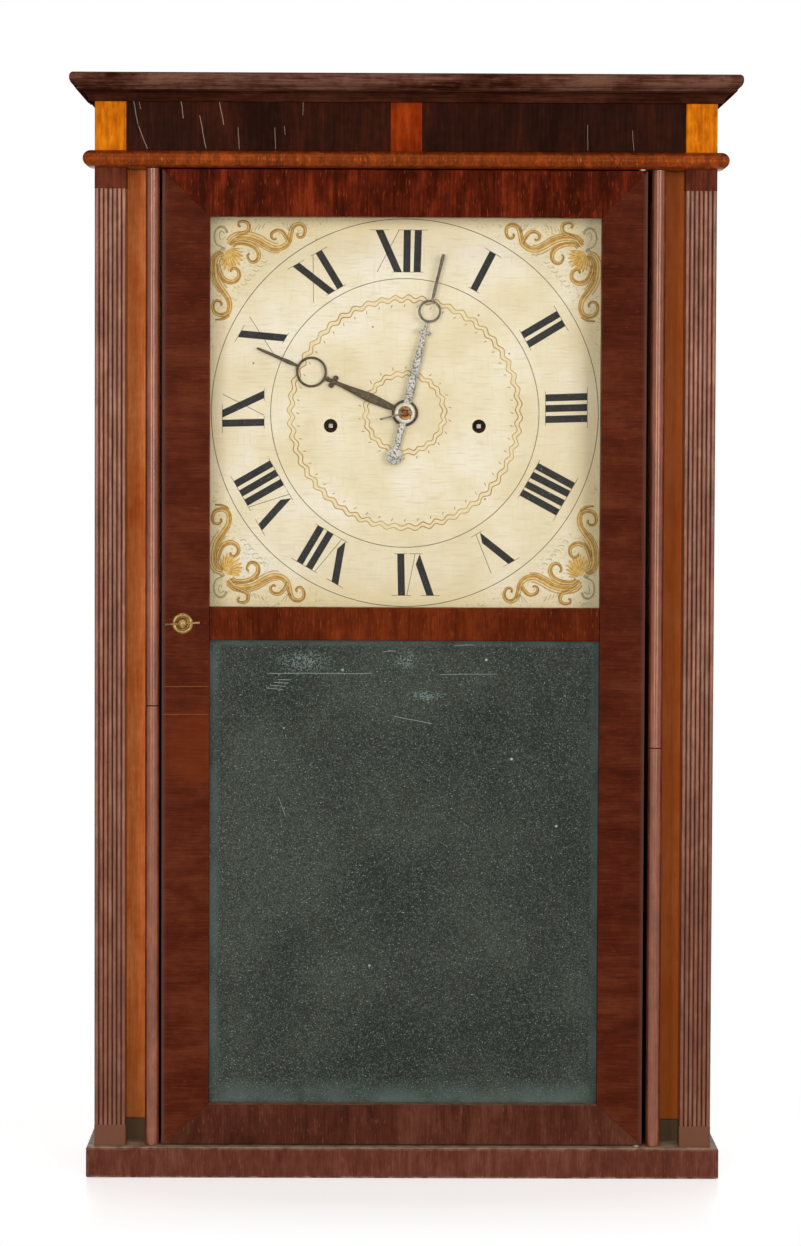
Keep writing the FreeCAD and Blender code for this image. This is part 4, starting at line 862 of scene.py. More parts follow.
def door_section(width, front, back, rebate_y, rebate_width, ease):
    """A door member across its width: eased front edges, and a rebate behind its inner edge for the glass."""
    soft = 0.29 * ease
    points = [(0, back), (0, front + ease), (soft, front + soft), (ease, front), (width - ease, front),
              (width - soft, front + soft), (width, front + ease), (width, rebate_y),
              (width - rebate_width, rebate_y), (width - rebate_width, back)]
    return [(across / width, depth) for across, depth in points]


class CLOCK_OT_door(bpy.types.Operator):
    """Add the mitred door frame with its middle rail, and finish the glass and the mirror"""
    bl_idname = "clock.door"
    bl_label = "Door"

    def execute(self, context):
        ease = context.scene.clock_case.door_ease / MM
        colours = context.scene.clock_colours
        stile_left, stile_right = span("door_stile_left"), span("door_stile_right")
        top, bottom, middle = span("door_top_rail"), span("door_bottom_rail"), span("door_middle_rail")
        left, right = stile_left[0][0], stile_right[1][0]
        glass_left, glass_right = stile_left[1][0], stile_right[0][0]
        front, back = stile_left[0][1], stile_left[1][1]
        glass = span("dial_glass")
        rebate_y, rebate = glass[0][1], glass_left - glass[0][0]
        outer = [(left, bottom[0][2]), (right, bottom[0][2]), (right, top[1][2]), (left, top[1][2])]
        inner = [(glass_left, bottom[1][2]), (glass_right, bottom[1][2]), (glass_right, top[0][2]),
                 (glass_left, top[0][2])]
        # Crossbanded mahogany: dark and red stripes on the rails, blotches on the stiles, greyed outer edges
        rail_finish = polished_wood("crossbanded_rail_mahogany", "#330a00", colours.rail, "#74280e", "Z",
                                    fibre=1.8, figure=17.0, contrast=1.2, fleck="#8c3c18")
        pale_lines = (((left, 386.1), (glass_left, 386.4), 0.28),
                      ((left, 364.2), (glass_left, 364.4), 0.28))
        stile_finish = polished_wood("crossbanded_stile_mahogany", "#3a1307", colours.stile, "#622d19", "X",
                                     fibre=1.3, figure=18.0, contrast=0.75, fleck="#742a12",
                                     fades=(("X", right - 4, right, "#5e4038", 0.8),))
        left_finish = polished_wood("crossbanded_left_mahogany", "#3a1307", colours.stile, "#622d19", "X",
                                    fibre=1.3, figure=18.0, contrast=0.75, fleck="#742a12",
                                    fades=(("X", left + 4, left, "#5e4038", 0.8),),
                                    stains=((glass_left - 8, 338.0, 36.0, "#7c3410", 0.3),),
                                    marks=pale_lines, mark_colour="#8f5a2a")
        low_finish = polished_wood("crossbanded_low_mahogany", "#3a1a11", "#502719", "#663b2c", "Z",
                                   fibre=1.6, figure=14.0, contrast=0.8, gloss=0.3, fleck="#7d4a38",
                                   dust_and_painted_light="#7a6050")
        members = (("bottom_rail", 0, bottom, 2, low_finish),
                   ("stile_right", 1, stile_right, 0, stile_finish),
                   ("top_rail", 2, top, 2, rail_finish), ("stile_left", 3, stile_left, 0, left_finish))
        for name, i, box, across, finish in members:
            j = (i + 1) % 4
            section = door_section(box[1][across] - box[0][across], front, back, rebate_y, rebate, ease)
            shell = mitred_length([outer[i], outer[j]], [inner[i], inner[j]], section, MITRE_GAP)
            add_piece("veneered_" + name, [shell], finish, "door", "door_mahogany", "door_" + name)
        low = np.array([glass_left, front, middle[0][2]])
        high = np.array([glass_right, rebate_y, middle[1][2]])
        tongue_ease = 0.2
        tongue = face_board(low + [-rebate, rebate_y - front, rebate],
                            [high[0] + rebate, back, high[2] - rebate], tongue_ease)
        rail = polished_wood("crossbanded_middle_mahogany", "#3e1102", "#58200a", "#742f11", "Z", fibre=1.6,
                             figure=13.0, contrast=0.8, fleck="#8c4018")
        add_piece("veneered_middle_rail", [face_board(low, high, ease), tongue], rail, "door",
                  "door_mahogany", "door_middle_rail")
        dress(clear_glass(), "dial_glass")
        dress(foxed_mirror(*span("mirror_glass"), colours.silvering_and_reflection), "mirror_glass")
        # Hinge pins rubbed bright
        dress(old_metal("hinge_steel", "#d8d2c8", "#8d857c", "#4a3a2c", 0.3, pitted=0.35), "hinge_pins")
        return {"FINISHED"}


class CLOCK_OT_latch(bpy.types.Operator):
    """Add the brass rose and the turning knob with its cross bar"""
    bl_idname = "clock.latch"
    bl_label = "Latch"

    def execute(self, context):
        low, high = span("latch_rose")
        at = np.array([(low[0] + high[0]) / 2, high[1], (low[2] + high[2]) / 2])
        radius, thick = (high[0] - low[0]) / 2, high[1] - low[1]
        # Cast brass gone brown and pitted, with brighter patches
        brass = old_metal("worn_brass", "#ac874c", "#684c28", "#3a2614", 0.26, pitted=0.42, metallic=0.7)
        bore = 4.3
        rose = [(bore, 0.0), (radius, 0.0), (radius, 0.4 * thick), (0.93 * radius, 0.8 * thick),
                (0.84 * radius, thick), (0.74 * radius, 0.92 * thick), (0.66 * radius, 0.62 * thick),
                (0.56 * radius, 0.5 * thick), (bore, 0.5 * thick)]
        reach, proud = np.asarray(rose).T
        turn = np.linspace(0, 2 * np.pi, 48, endpoint=False)
        across = np.outer(np.cos(turn), reach)
        rings = np.stack([at[0] + across, np.broadcast_to(at[1] - proud, across.shape),
                          at[2] + np.outer(np.sin(turn), reach)], axis=-1)
        add_piece("turned_rose", [lofted(rings, looped=True)], brass, "door", "brass", "latch_rose")
        knob_low, knob_high = span("latch_knob")
        tall = at[1] - knob_low[1]
        deep = knob_high[1] - at[1]
        stem = [(1.8, -deep), (1.8, 0.3), (3.9, 0.35), (3.9, 0.55 * tall), (3.6, 0.75 * tall),
                (2.9, 0.9 * tall), (1.6, 0.98 * tall), (0.05, tall)]
        boss = turned(stem, at, FORWARD, 32)
        # The cross bar: a round rod, thicker at its tips, that hangs a little askew
        length, deep_radius, lean = 13.5, 0.85, math.radians(3.4)
        share = np.linspace(-1, 1, 17)
        thick = 0.8 + 0.35 * share ** 4
        turn = np.linspace(0, 2 * np.pi, 12, endpoint=False)
        along = share[:, None] * length + 0 * turn
        up = thick[:, None] * np.sin(turn)
        rings = np.stack([at[0] + along * math.cos(lean) - up * math.sin(lean),
                          at[1] - 0.55 * tall + deep_radius * np.cos(turn) + 0 * along,
                          at[2] + along * math.sin(lean) + up * math.cos(lean)], axis=-1)
        add_piece("turned_knob", [boss, lofted(rings)], brass, "latch", "brass", "latch_knob")
        # Wrought iron behind the stile, dull and almost black
        dress(old_metal("catch_iron", "#4a4038", "#352c26", "#1c1612", 0.6), "latch_catch", "latch_keeper")
        return {"FINISHED"}


# The dial

def hour_strokes():
    """Strokes of the twelve numerals as (hour, kind, head, foot), clockwise from the hour in millimetres."""
    bars = {1: [(-3.6, -2.0)], 2: [(-7.6, -7.2), (0.5, 1.3)], 3: [(-13.6, -12.4), (-5.0, -4.0), (3.6, 4.6)],
            4: [(-17.4, -16.4), (-10.0, -8.4), (-1.5, 0.1), (6.9, 7.7)], 6: [(2.1, 2.8)],
            7: [(3.9, 3.4), (12.4, 12.1)], 8: [(1.0, 0.9), (9.3, 9.5), (17.8, 17.8)], 9: [(-8.6, -7.7)],
            11: [(4.2, 4.9)], 12: [(1.4, 1.0), (10.1, 9.2)]}
    fives = {5: (-14.8, -1.8), 6: (-20.6, -9.2), 7: (-19.8, -7.7), 8: (-21.5, -10.8)}
    tens = {9: (-1.0, 14.4), 10: (-11.5, 3.7), 11: (-16.4, -3.0), 12: (-20.5, -5.9)}
    strokes = [(hour, "bar", *ends) for hour, pairs in bars.items() for ends in pairs]
    for hour, (head, foot) in fives.items():
        strokes += [(hour, "point", head, foot), (hour, "hair", head + 18.4, foot + 0.6)]
    for hour, (head, foot) in tens.items():
        strokes += [(hour, "bar", head, foot), (hour, "hair", head + 15.4, foot - 16.4)]
    return strokes


def flat_stroke(corners, lift, face):
    """A straight-sided patch of paint on the dial, from corners of (x, z) in order."""
    corners = np.asarray(corners, float)
    rings = [np.column_stack([corners[:, 0], np.full(len(corners), depth), corners[:, 1]])
             for depth in (face + PAINT_SINK, face - lift)]
    return lofted(rings)


def ornament_lines():
    """Scrolls of one corner as (control points from the corner, widest, narrowest), in millimetres."""
    return [
        ([(13.6, 20.0), (18.6, 14.9), (27.7, 14.0), (35.9, 16.2), (43.2, 20.5), (49.5, 23.0), (55.9, 22.1),
          (60.4, 18.2), (62.2, 11.8), (63.4, 7.3), (65.9, 4.6), (69.5, 3.8), (73.0, 6.0), (73.6, 10.0),
          (72.0, 13.5), (69.1, 14.3), (67.4, 12.3), (68.4, 10.8)], 5.0, 1.3),
        ([(60.6, 18.7), (59.3, 15.0), (57.2, 11.8), (55.0, 9.6), (51.3, 8.9), (47.7, 10.9), (47.2, 14.1),
          (49.5, 15.9), (51.1, 14.8)], 3.0, 1.2),
        ([(16.5, 21.5), (19.5, 18.9), (26.8, 18.9), (33.2, 21.4), (36.8, 25.5), (37.2, 30.0), (35.0, 33.2),
          (31.3, 33.7), (29.1, 31.4), (28.4, 28.7), (29.9, 26.8)], 3.8, 1.1),
        ([(19.0, 13.9), (23.2, 11.8), (27.7, 10.0), (29.5, 6.8), (28.6, 3.4), (25.0, 1.9), (21.8, 2.6),
          (21.2, 5.0), (22.9, 5.9)], 3.0, 1.1),
        ([(9.5, 27.3), (4.6, 29.3), (2.4, 34.6), (2.6, 42.8), (4.7, 50.0), (9.5, 57.3), (13.2, 62.8),
          (14.3, 69.1), (12.8, 73.7), (7.7, 75.7), (2.8, 73.7), (1.0, 69.1), (2.2, 65.2), (5.4, 64.3),
          (8.0, 66.4), (7.5, 68.5)], 4.8, 1.3),
        ([(5.2, 35.4), (6.5, 41.8), (9.5, 47.3), (15.0, 49.6), (19.5, 48.2), (21.8, 44.6), (20.9, 40.5),
          (17.7, 38.7), (15.4, 40.0), (15.2, 41.8)], 3.8, 1.1),
        ([(14.0, 75.4), (9.0, 78.6), (3.0, 79.4)], 2.2, 0.8),
    ]


def petal_lines():
    """The fan of petals under the main scroll, in the same form as the scrolls."""
    tips = [(22.6, 23.6), (24.2, 26.4), (24.8, 29.6), (24.2, 33.0), (22.4, 36.6), (19.8, 39.4),
            (16.6, 41.0), (13.2, 41.0), (10.2, 39.4), (7.8, 36.6)]
    hub = np.array([12.2, 24.6])
    fan = [np.array(tip) for tip in tips]
    return [([hub, 0.5 * (hub + tip) + [-0.3, 0.5], tip], 2.6, 0.7) for tip in fan]


def shell_lines():
    """Grey-green leaves near the corner and the feather strokes, in the same form as the scrolls."""
    feathers = [([(61.5, 9.5), (58.5 + 1.7 * k, 6.5), (55.5 + 3.1 * k, 2.6 + 0.3 * k)], 0.7, 0.4)
                for k in range(5)]
    plumes = [([(31 + 3 * k, 10.4 - k), (32 + 3 * k, 8 - k), (33.4 + 3 * k, 6.6 - k)], 0.8, 0.4)
              for k in range(4)]
    sprays = [([(23 + 3.2 * k, 51 - 3.6 * k), (26 + 3.2 * k, 52 - 3.6 * k),
                (28 + 3.2 * k, 50.6 - 3.6 * k)], 0.7, 0.4)
              for k in range(6)]
    return feathers + plumes + sprays + [
        ([(12.4, 10.9), (10.6, 7.4), (6.8, 6.2), (3.2, 9.1), (2.2, 14.6), (4.0, 20.0), (9.0, 22.6)],
         2.4, 1.0),
        ([(10.4, 11.4), (7.6, 9.6), (6.0, 12.4), (7.0, 16.4)], 1.0, 0.5),
        ([(7.6, 24.4), (8.6, 22.8), (10.2, 23.6), (9.4, 25.2)], 2.0, 1.4),
    ]


class CLOCK_OT_dial(bpy.types.Operator):
    """Paint the dial: board, circles, numerals, wavy bands and corner scrolls"""
    bl_idname = "clock.dial"
    bl_label = "Dial"

    def execute(self, context):
        dial = context.scene.clock_dial
        face = span("dial_board")[0][1]
        washer = span("hand_washer")
        centre = np.array([0.0, face, (washer[0][2] + washer[1][2]) / 2])
        middle = centre[[0, 2]]
        lift, hair = dial.paint_height / MM, dial.hairline / MM
        colours = context.scene.clock_colours
        dress(crazed_dial_paint(centre, colours.ivory), "dial_board")

        def circle(radius, count):
            turn = np.linspace(0, 2 * np.pi, count, endpoint=False)
            return middle + np.asarray(radius)[..., None] * np.column_stack([np.sin(turn), np.cos(turn)])

        # Circles and numerals
        lines = [brush_line(circle(radius / MM, 240), hair, lift, face, True)
                 for radius in (dial.outer_circle, dial.inner_circle)]
        thick_strokes = []
        head, foot = dial.numeral_head / MM, dial.numeral_foot / MM
        half = dial.stroke / MM / 2
        for hour, kind, above, below in hour_strokes():
            turn = math.radians(30 * hour)
            out = np.array([math.sin(turn), math.cos(turn)])
            along = np.array([math.cos(turn), -math.sin(turn)])
            top, low = middle + out * head + along * above, middle + out * foot + along * below
            if kind == "hair":
                lines.append(brush_line(np.linspace(top, low, 5), 0.8 * hair, lift, face))
                continue
            wide = along * half * math.hypot(head - foot, above - below) / (head - foot)
            corners = [top - wide, top + wide, low + wide, low - wide]
            if kind == "point":
                corners[2] = 0.25 * top + 0.75 * low + wide
            thick_strokes.append(flat_stroke(corners, lift, face))
            for radius, place, reach in ((head + 0.2, above, 7.5), (foot - 0.2, below, 5.0)):
                ends = np.linspace(-reach, reach, 4)[:, None]
                serif = middle + out * radius + along * (place + ends)
                lines.append(brush_line(serif, 0.7 * hair, lift, face))

        # Two wavy bands drawn by hand: slow ripples change the phase and the swing of their waves
        washes, bands, dark = [], [], []
        for radius, waves, way, swing in ((90.0, 52, -1, 1.2), (30.8, 22, 1, 0.9)):
            count = waves * 14
            turn = np.linspace(0, 2 * np.pi, count, endpoint=False)
            slow = 0.3 * np.sin(7 * turn)
            swell = swing + 0.2 * np.sin(11 * turn + 1)
            wash = radius + 0.7 * swell * np.sin(waves * turn + slow + 0.2)
            washes.append(brush_line(circle(wash, count), 4.0, 0.4 * lift, face, True))
            for side, phase in ((1.7, 0.0), (-1.7, 0.4)):
                wave = radius + side + swell * np.sin(waves * turn + phase + slow)
                width = 0.75 + 0.2 * np.sin(5 * turn)
                bands.append(brush_line(circle(wave, count), width, lift, face, True))
                edge = 0.18 * (1 + np.sin(9 * turn + phase))
                dark.append(brush_line(circle(wave + 0.32, count), 0.14 + edge, 1.5 * lift, face, True))
            for tick in np.linspace(0, 2 * np.pi, waves, endpoint=False):
                spread = np.array([0, 0.5, 1.0])
                at = tick + 0.9 * way * spread / radius
                reach = radius + way * (4.2 + 2.1 * spread)
                path = middle + reach[:, None] * np.column_stack([np.sin(at), np.cos(at)])
                dark.append(brush_line(path, 0.55, lift, face))

        window = span("dial_glass")
        rebate = span("door_stile_left")[1][0] - window[0][0]
        corner_x, corner_z = window[1][0] - rebate, window[1][2] - rebate - middle[1]
        scrolls, lights, petals, shells = [], [], [], []
        # Each stroke lies a little higher than the last, so that none cuts into another, and the scrolls are
        # slimmer than listed
        climb, slim = 0.08, 0.76
        for sign_x in (-1, 1):
            for sign_z in (-1, 1):
                flip = np.array([-sign_x, -sign_z])
                start = middle + [sign_x * corner_x, sign_z * corner_z]
                for order, (points, wide, narrow) in enumerate(ornament_lines()):
                    rise = lift * (1 + climb * order)
                    path = start + flip * smooth(points, 9)
                    share = np.linspace(0, 1, len(path))
                    width = narrow + (wide - narrow) * np.sin(np.pi * (0.12 + 0.88 * share) ** 0.6) ** 1.5
                    width *= slim
                    side = sideways(path)
                    lights.append(brush_line(path, 1.5 * width + 1.0, 0.5 * rise, face))
                    scrolls.append(brush_line(path, width, rise, face))
                    for place, line in ((-0.54, 0.6), (0.54, 0.5), (-0.15, 0.4)):
                        edge = path + place * width[:, None] * side
                        dark.append(brush_line(edge, line, 1.6 * rise, face))
                    if wide > 4:
                        root = len(path) // 3
                        for place in (1.0, -1.0):
                            strand = (path + place * width[:, None] * side)[2:root]
                            taper = np.linspace(1.0, 0.4, len(strand))
                            scrolls.append(brush_line(strand, taper, 0.95 * lift, face))
                            dark.append(brush_line(strand + 0.6 * side[2:root], 0.35, 1.6 * lift, face))
                    crest = path + 0.26 * width[:, None] * side
                    lights.append(brush_line(crest, 0.2 * width, 1.7 * rise, face))
                for order, (points, wide, narrow) in enumerate(petal_lines()):
                    path = start + flip * smooth(points, 8)
                    share = np.linspace(0, 1, len(path))
                    width = narrow + (wide - narrow) * np.sin(np.pi * share ** 1.3)
                    petals.append(brush_line(path, width, (1.7 + climb * order) * lift, face))
                    edge = (path + 0.5 * width[:, None] * sideways(path))[5:]
                    dark.append(brush_line(edge, 0.35, (2.5 + climb * order) * lift, face))
                for points, wide, narrow in shell_lines():
                    path = start + flip * smooth(points, 8)
                    width = np.linspace(wide, narrow, len(path))
                    shells.append(brush_line(path, width, lift, face))

        # Oil colours: numerals in flaking charcoal, hairlines in the same thinned to brown, tan bands on
        # a straw wash, ochre scrolls with gold petals, grey-green leaves, pale lights and umber lines
        coats = (("numerals", thick_strokes, "charcoal_paint", colours.ink, "#302e2b", "#c9ba95", 5.0),
                 ("hairlines", lines, "thinned_charcoal_paint", "#4f4838", "#6e6550", None, 5.0),
                 ("wave_bands", bands, "tan_gold_paint", "#d0a75e", "#dfbf80", None, 4.0),
                 ("band_washes", washes, "straw_wash", "#efdcaa", "#f4e4bd", None, 6.0),
                 ("corner_scrolls", scrolls, "golden_ochre_paint", colours.gold, "#e2b75f", None, 3.0),
                 ("corner_petals", petals, "bright_gold_paint", "#e3ac48", "#f2d080", None, 3.0),
                 ("corner_shells", shells, "grey_green_paint", "#aa9f78", "#c2b68c", None, 4.0),
                 ("corner_lights", lights, "pale_gold_paint", "#e9cb86", "#f4dfa8", None, 3.0),
                 ("umber_lines", dark, "burnt_umber_paint", "#80561e", "#a47636", None, 3.0))
        for name, strokes, *paint in coats:
            add_piece("dial_" + name, strokes, brushed_paint(*paint), "case", "ivory_paint", crease=60)
        return {"FINISHED"}


# The hands

def swung(points, angle, centre):
    """Points of an upright hand turned clockwise about the dial's centre."""
    x = points[..., 0] * math.cos(angle) + points[..., 2] * math.sin(angle)
    z = points[..., 2] * math.cos(angle) - points[..., 0] * math.sin(angle)
    return np.stack([x + centre[0], points[..., 1], z + centre[2]], axis=-1)


def forged_blade(stations, y, thick, angle, centre):
    """An oval section, (half width, distance) at each station, carried up a hand."""
    half, along = smooth(stations, 5).T
    turn = np.linspace(0, 2 * np.pi, 14, endpoint=False)
    x = np.maximum(half, 0.2)[:, None] * np.cos(turn)
    depth = y + thick / 2 * np.sin(turn)
    rings = np.stack([x, np.broadcast_to(depth, x.shape), np.broadcast_to(along[:, None], x.shape)],
                     axis=-1)
    return lofted(swung(rings, angle, centre))


def wire_ring(place, radius, wire, y, thick, angle, centre, tube=10, around=56):
    """A ring in the hand's plane: an oval section carried round a circle."""
    turn = np.linspace(0, 2 * np.pi, around, endpoint=False)[:, None]
    small = np.linspace(0, 2 * np.pi, tube, endpoint=False)[None, :]
    reach = radius + wire / 2 * np.cos(small)
    rings = np.stack([reach * np.cos(turn), y + thick / 2 * np.sin(small) + 0 * turn,
                      place + reach * np.sin(turn)], axis=-1)
    return lofted(swung(rings, angle, centre), looped=True)


def bead(x, along, radius, y, thick, angle, centre):
    """A flattened ball on a hand: circles that shrink towards its two poles, front and back."""
    lean = np.linspace(-0.49 * np.pi, 0.49 * np.pi, 9)[:, None]
    turn = np.linspace(0, 2 * np.pi, 18, endpoint=False)[None, :]
    ball = np.stack([x + radius * np.cos(lean) * np.cos(turn), y + thick / 2 * np.sin(lean) + 0 * turn,
                     along + radius * np.cos(lean) * np.sin(turn)], axis=-1)
    return lofted(swung(ball, angle, centre))


class CLOCK_OT_hands(bpy.types.Operator):
    """Add the forged hour and minute hands with their rings, the washer, its pin and the arbor's end"""
    bl_idname = "clock.hands"
    bl_label = "Hands"

    def execute(self, context):
        hands = context.scene.clock_hands
        wire = hands.wire / MM
        washer = span("hand_washer")
        centre = np.array([0.0, 0.0, (washer[0][2] + washer[1][2]) / 2])
        low, high = span("hour_hand")
        y, thick = (low[1] + high[1]) / 2, high[1] - low[1]
        where = (y, thick, hands.hour_angle, centre)
        blade = [(2.0, 9.0), (2.9, 16), (3.7, 30), (3.2, 38), (2.2, 48), (1.7, 57), (1.6, 61), (1.5, 69)]
        point = [(1.0, 92.0), (1.4, 97), (1.6, 101), (1.3, 106), (1.2, 114), (1.1, 123), (0.7, 127.5)]
        shells = [forged_blade(blade, *where), forged_blade(point, *where),
                  wire_ring(80.5, 12.2 - wire / 2, wire, *where),
                  wire_ring(0.0, 8.0, 4.8, *where, tube=12),
                  bead(-3.2, 62.0, 2.2, *where), bead(3.2, 61.0, 2.2, *where), bead(0.0, 61.5, 2.6, *where),
                  bead(0.0, 66.6, 2.1, *where)]
        # Forged steel, browned all over
        steel = old_metal("dark_forged_steel", "#6a5a40", "#50442f", "#3b2f22", 0.48, pit_size=1.4,
                          pitted=0.5, metallic=0.55)
        add_piece("forged_hour_hand", shells, steel, "hour_hand", "dark_steel", "hour_hand", crease=60)

        low, high = span("minute_hand")
        y, thick = (low[1] + high[1]) / 2, high[1] - low[1]
        where = (y, thick, hands.minute_angle, centre)
        blade = [(2.0, -34.6), (2.3, -28), (2.6, -12), (3.0, 8), (3.3, 22), (3.2, 36), (2.8, 48), (2.1, 58),
                 (1.6, 63.4), (1.3, 67.4), (1.2, 74)]
        point = [(1.0, 90.9), (1.2, 95), (1.3, 102), (1.2, 110), (1.3, 120), (1.5, 125), (1.0, 128.5)]
        shells = [forged_blade(blade, *where), bead(0.0, -35.2, 6.5, *where), bead(0.0, 0.0, 8.1, *where),
                  bead(-3.4, 65.6, 1.9, *where), bead(3.4, 65.0, 1.9, *where), bead(0.0, 65.4, 2.3, *where),
                  bead(0.0, 70.0, 1.8, *where)]
        # Pewter: silvery, finely pitted, tarnished towards the point
        pewter = old_metal("pitted_pewter", "#d4cfc4", "#b2aca0", "#5e574e", 0.42, pit_size=1.5, pitted=0.5,
                           metallic=0.25)
        add_piece("forged_minute_hand", shells, pewter, "minute_hand", "pewter", "minute_hand", crease=60)
        shells = [forged_blade(point, *where), wire_ring(82.4, 9.1 - wire / 2, wire, *where)]
        tarnished = old_metal("tarnished_pewter", "#8d836f", "#6f6654", "#4b4437", 0.46, pit_size=1.7,
                              pitted=0.5, metallic=0.5)
        add_piece("minute_hand_point", shells, tarnished, "minute_hand", "pewter", crease=60)

        low, high = washer
        thick = high[1] - low[1]
        dish = [(2.2, 0.0), (8.2, 0.0), (8.2, 0.3 * thick), (7.6, 0.75 * thick), (6.4, thick),
                (5.2, 0.8 * thick), (4.2, 0.7 * thick), (3.4, 0.85 * thick), (0.1, 0.85 * thick)]
        seat = np.array([0.0, high[1], centre[2]])
        # Silvered brass washer, its pale colour with little metal shine partly a painted reflection; bronze
        # collar and the rusted square end of the arbor
        brass = old_metal("silvered_brass_and_sheen", "#e9e4d8", "#c9c0aa", "#8a6c40", 0.3, pit_size=2.2, pitted=0.4,
                          metallic=0.35)
        add_piece("dished_washer", [turned(dish, seat, FORWARD)], brass, "minute_hand", "brass",
                  "hand_washer")
        collar = [(0.1, 0.6 * thick), (5.6, 0.6 * thick), (5.6, 0.9 * thick), (4.8, 1.02 * thick),
                  (0.1, 1.02 * thick)]
        bronze = old_metal("dull_bronze", "#b98d4e", "#8a6230", "#4f3216", 0.4, pit_size=2.0, pitted=0.45,
                           metallic=0.4)
        add_piece("bronze_collar", [turned(collar, seat, FORWARD)], bronze, "minute_hand", "brass")
        rust = old_metal("rusted_iron", "#5a2d14", "#43200e", "#2a140a", 0.7, pit_size=1.2, pitted=0.5,
                         metallic=0.1)
        half, ease = 2.7, 0.5
        end = face_board(np.array([-half, high[1] - thick - 1.1, centre[2] - half]),
                         np.array([half, high[1] - 0.6 * thick, centre[2] + half]), ease)
        add_piece("rusted_arbor_end", [end], rust, "minute_hand", "steel")
        dress(old_metal("pin_steel", "#a89f90", "#776d60", "#4a4036", 0.35, pitted=0.4), "hand_pin")
        return {"FINISHED"}


class CLOCK_OT_movement(bpy.types.Operator):
    """Finish the wooden movement, the pendulum, the bell and the weights"""
    bl_idname = "clock.movement"
    bl_label = "Movement"

    def execute(self, context):
        # Oiled cherry wheels, oak plates, dull brass, steel and rusty cast iron
        dress(polished_wood("cherry_wheels", "#7a4420", "#97592f", "#b4754a", "Z", fibre=1.6, figure=8.0,
                            gloss=0.5, coat=0.05),
              "time_great_wheel", "strike_great_wheel", "time_drum", "strike_drum", "centre_wheel",
              "third_wheel", "pin_wheel", "fly", "cannon_pinion", "minute_wheel", "hour_wheel",
              "plate_pillars", "time_pulley", "strike_pulley")
        hole_shade_discs = []
        hidden, shadow, ease = 5, 22.0, 0.5
        # Winding squares: bright steel ends on near-black sleeves that are painted shade in the holes, with
        # near-black discs of painted shade on the oak plates round the arbors
        shade = old_metal("hole_shade_black", "#1c1815", "#14110e", "#0c0a08", 0.6, metallic=0.1)
        square = old_metal("square_steel", "#cfd2d2", "#a9abaa", "#5a544e", 0.34, pitted=0.35, metallic=0.2)
        for node in ("time_drum", "strike_drum"):
            low, high = span(node)
            x, z = (low[0] + high[0]) / 2, (low[2] + high[2]) / 2
            hole_shade_discs.append((x, z, shadow, "#0c0806", 1.0))
            for part, half, proud, finish in (("_square", 1.9, 0.1, square), ("_arbor", 2.6, 0.05, shade)):
                end = face_board(np.array([x - half, low[1] - proud, z - half]),
                                 np.array([x + half, low[1] + hidden, z + half]), ease)
                add_piece(node + part, [end], finish, node, "steel")
        dress(polished_wood("oak_plates", "#7a5730", "#9a7343", "#b58d5b", "Z", fibre=2.0, figure=18.0,
                            gloss=0.55, stains=hole_shade_discs), "front_plate", "back_plate")
        dress(old_metal("clock_brass", "#cfa95c", "#a07c3c", "#5c4522", 0.3, pitted=0.34), "escape_wheel",
              "bell", "pendulum_cock", "pendulum_bob")
        dress(old_metal("clock_steel", "#b9b3a9", "#857e75", "#4a4038", 0.34, pitted=0.38), "verge",
              "pendulum_rod")
        dress(old_metal("cast_iron", "#4c4641", "#393430", "#5a3a26", 0.6, pit_size=3.0, pitted=0.42,
                        metallic=0.5),
              "time_weight", "strike_weight", "hammer")
        return {"FINISHED"}


# Floor, lights and camera

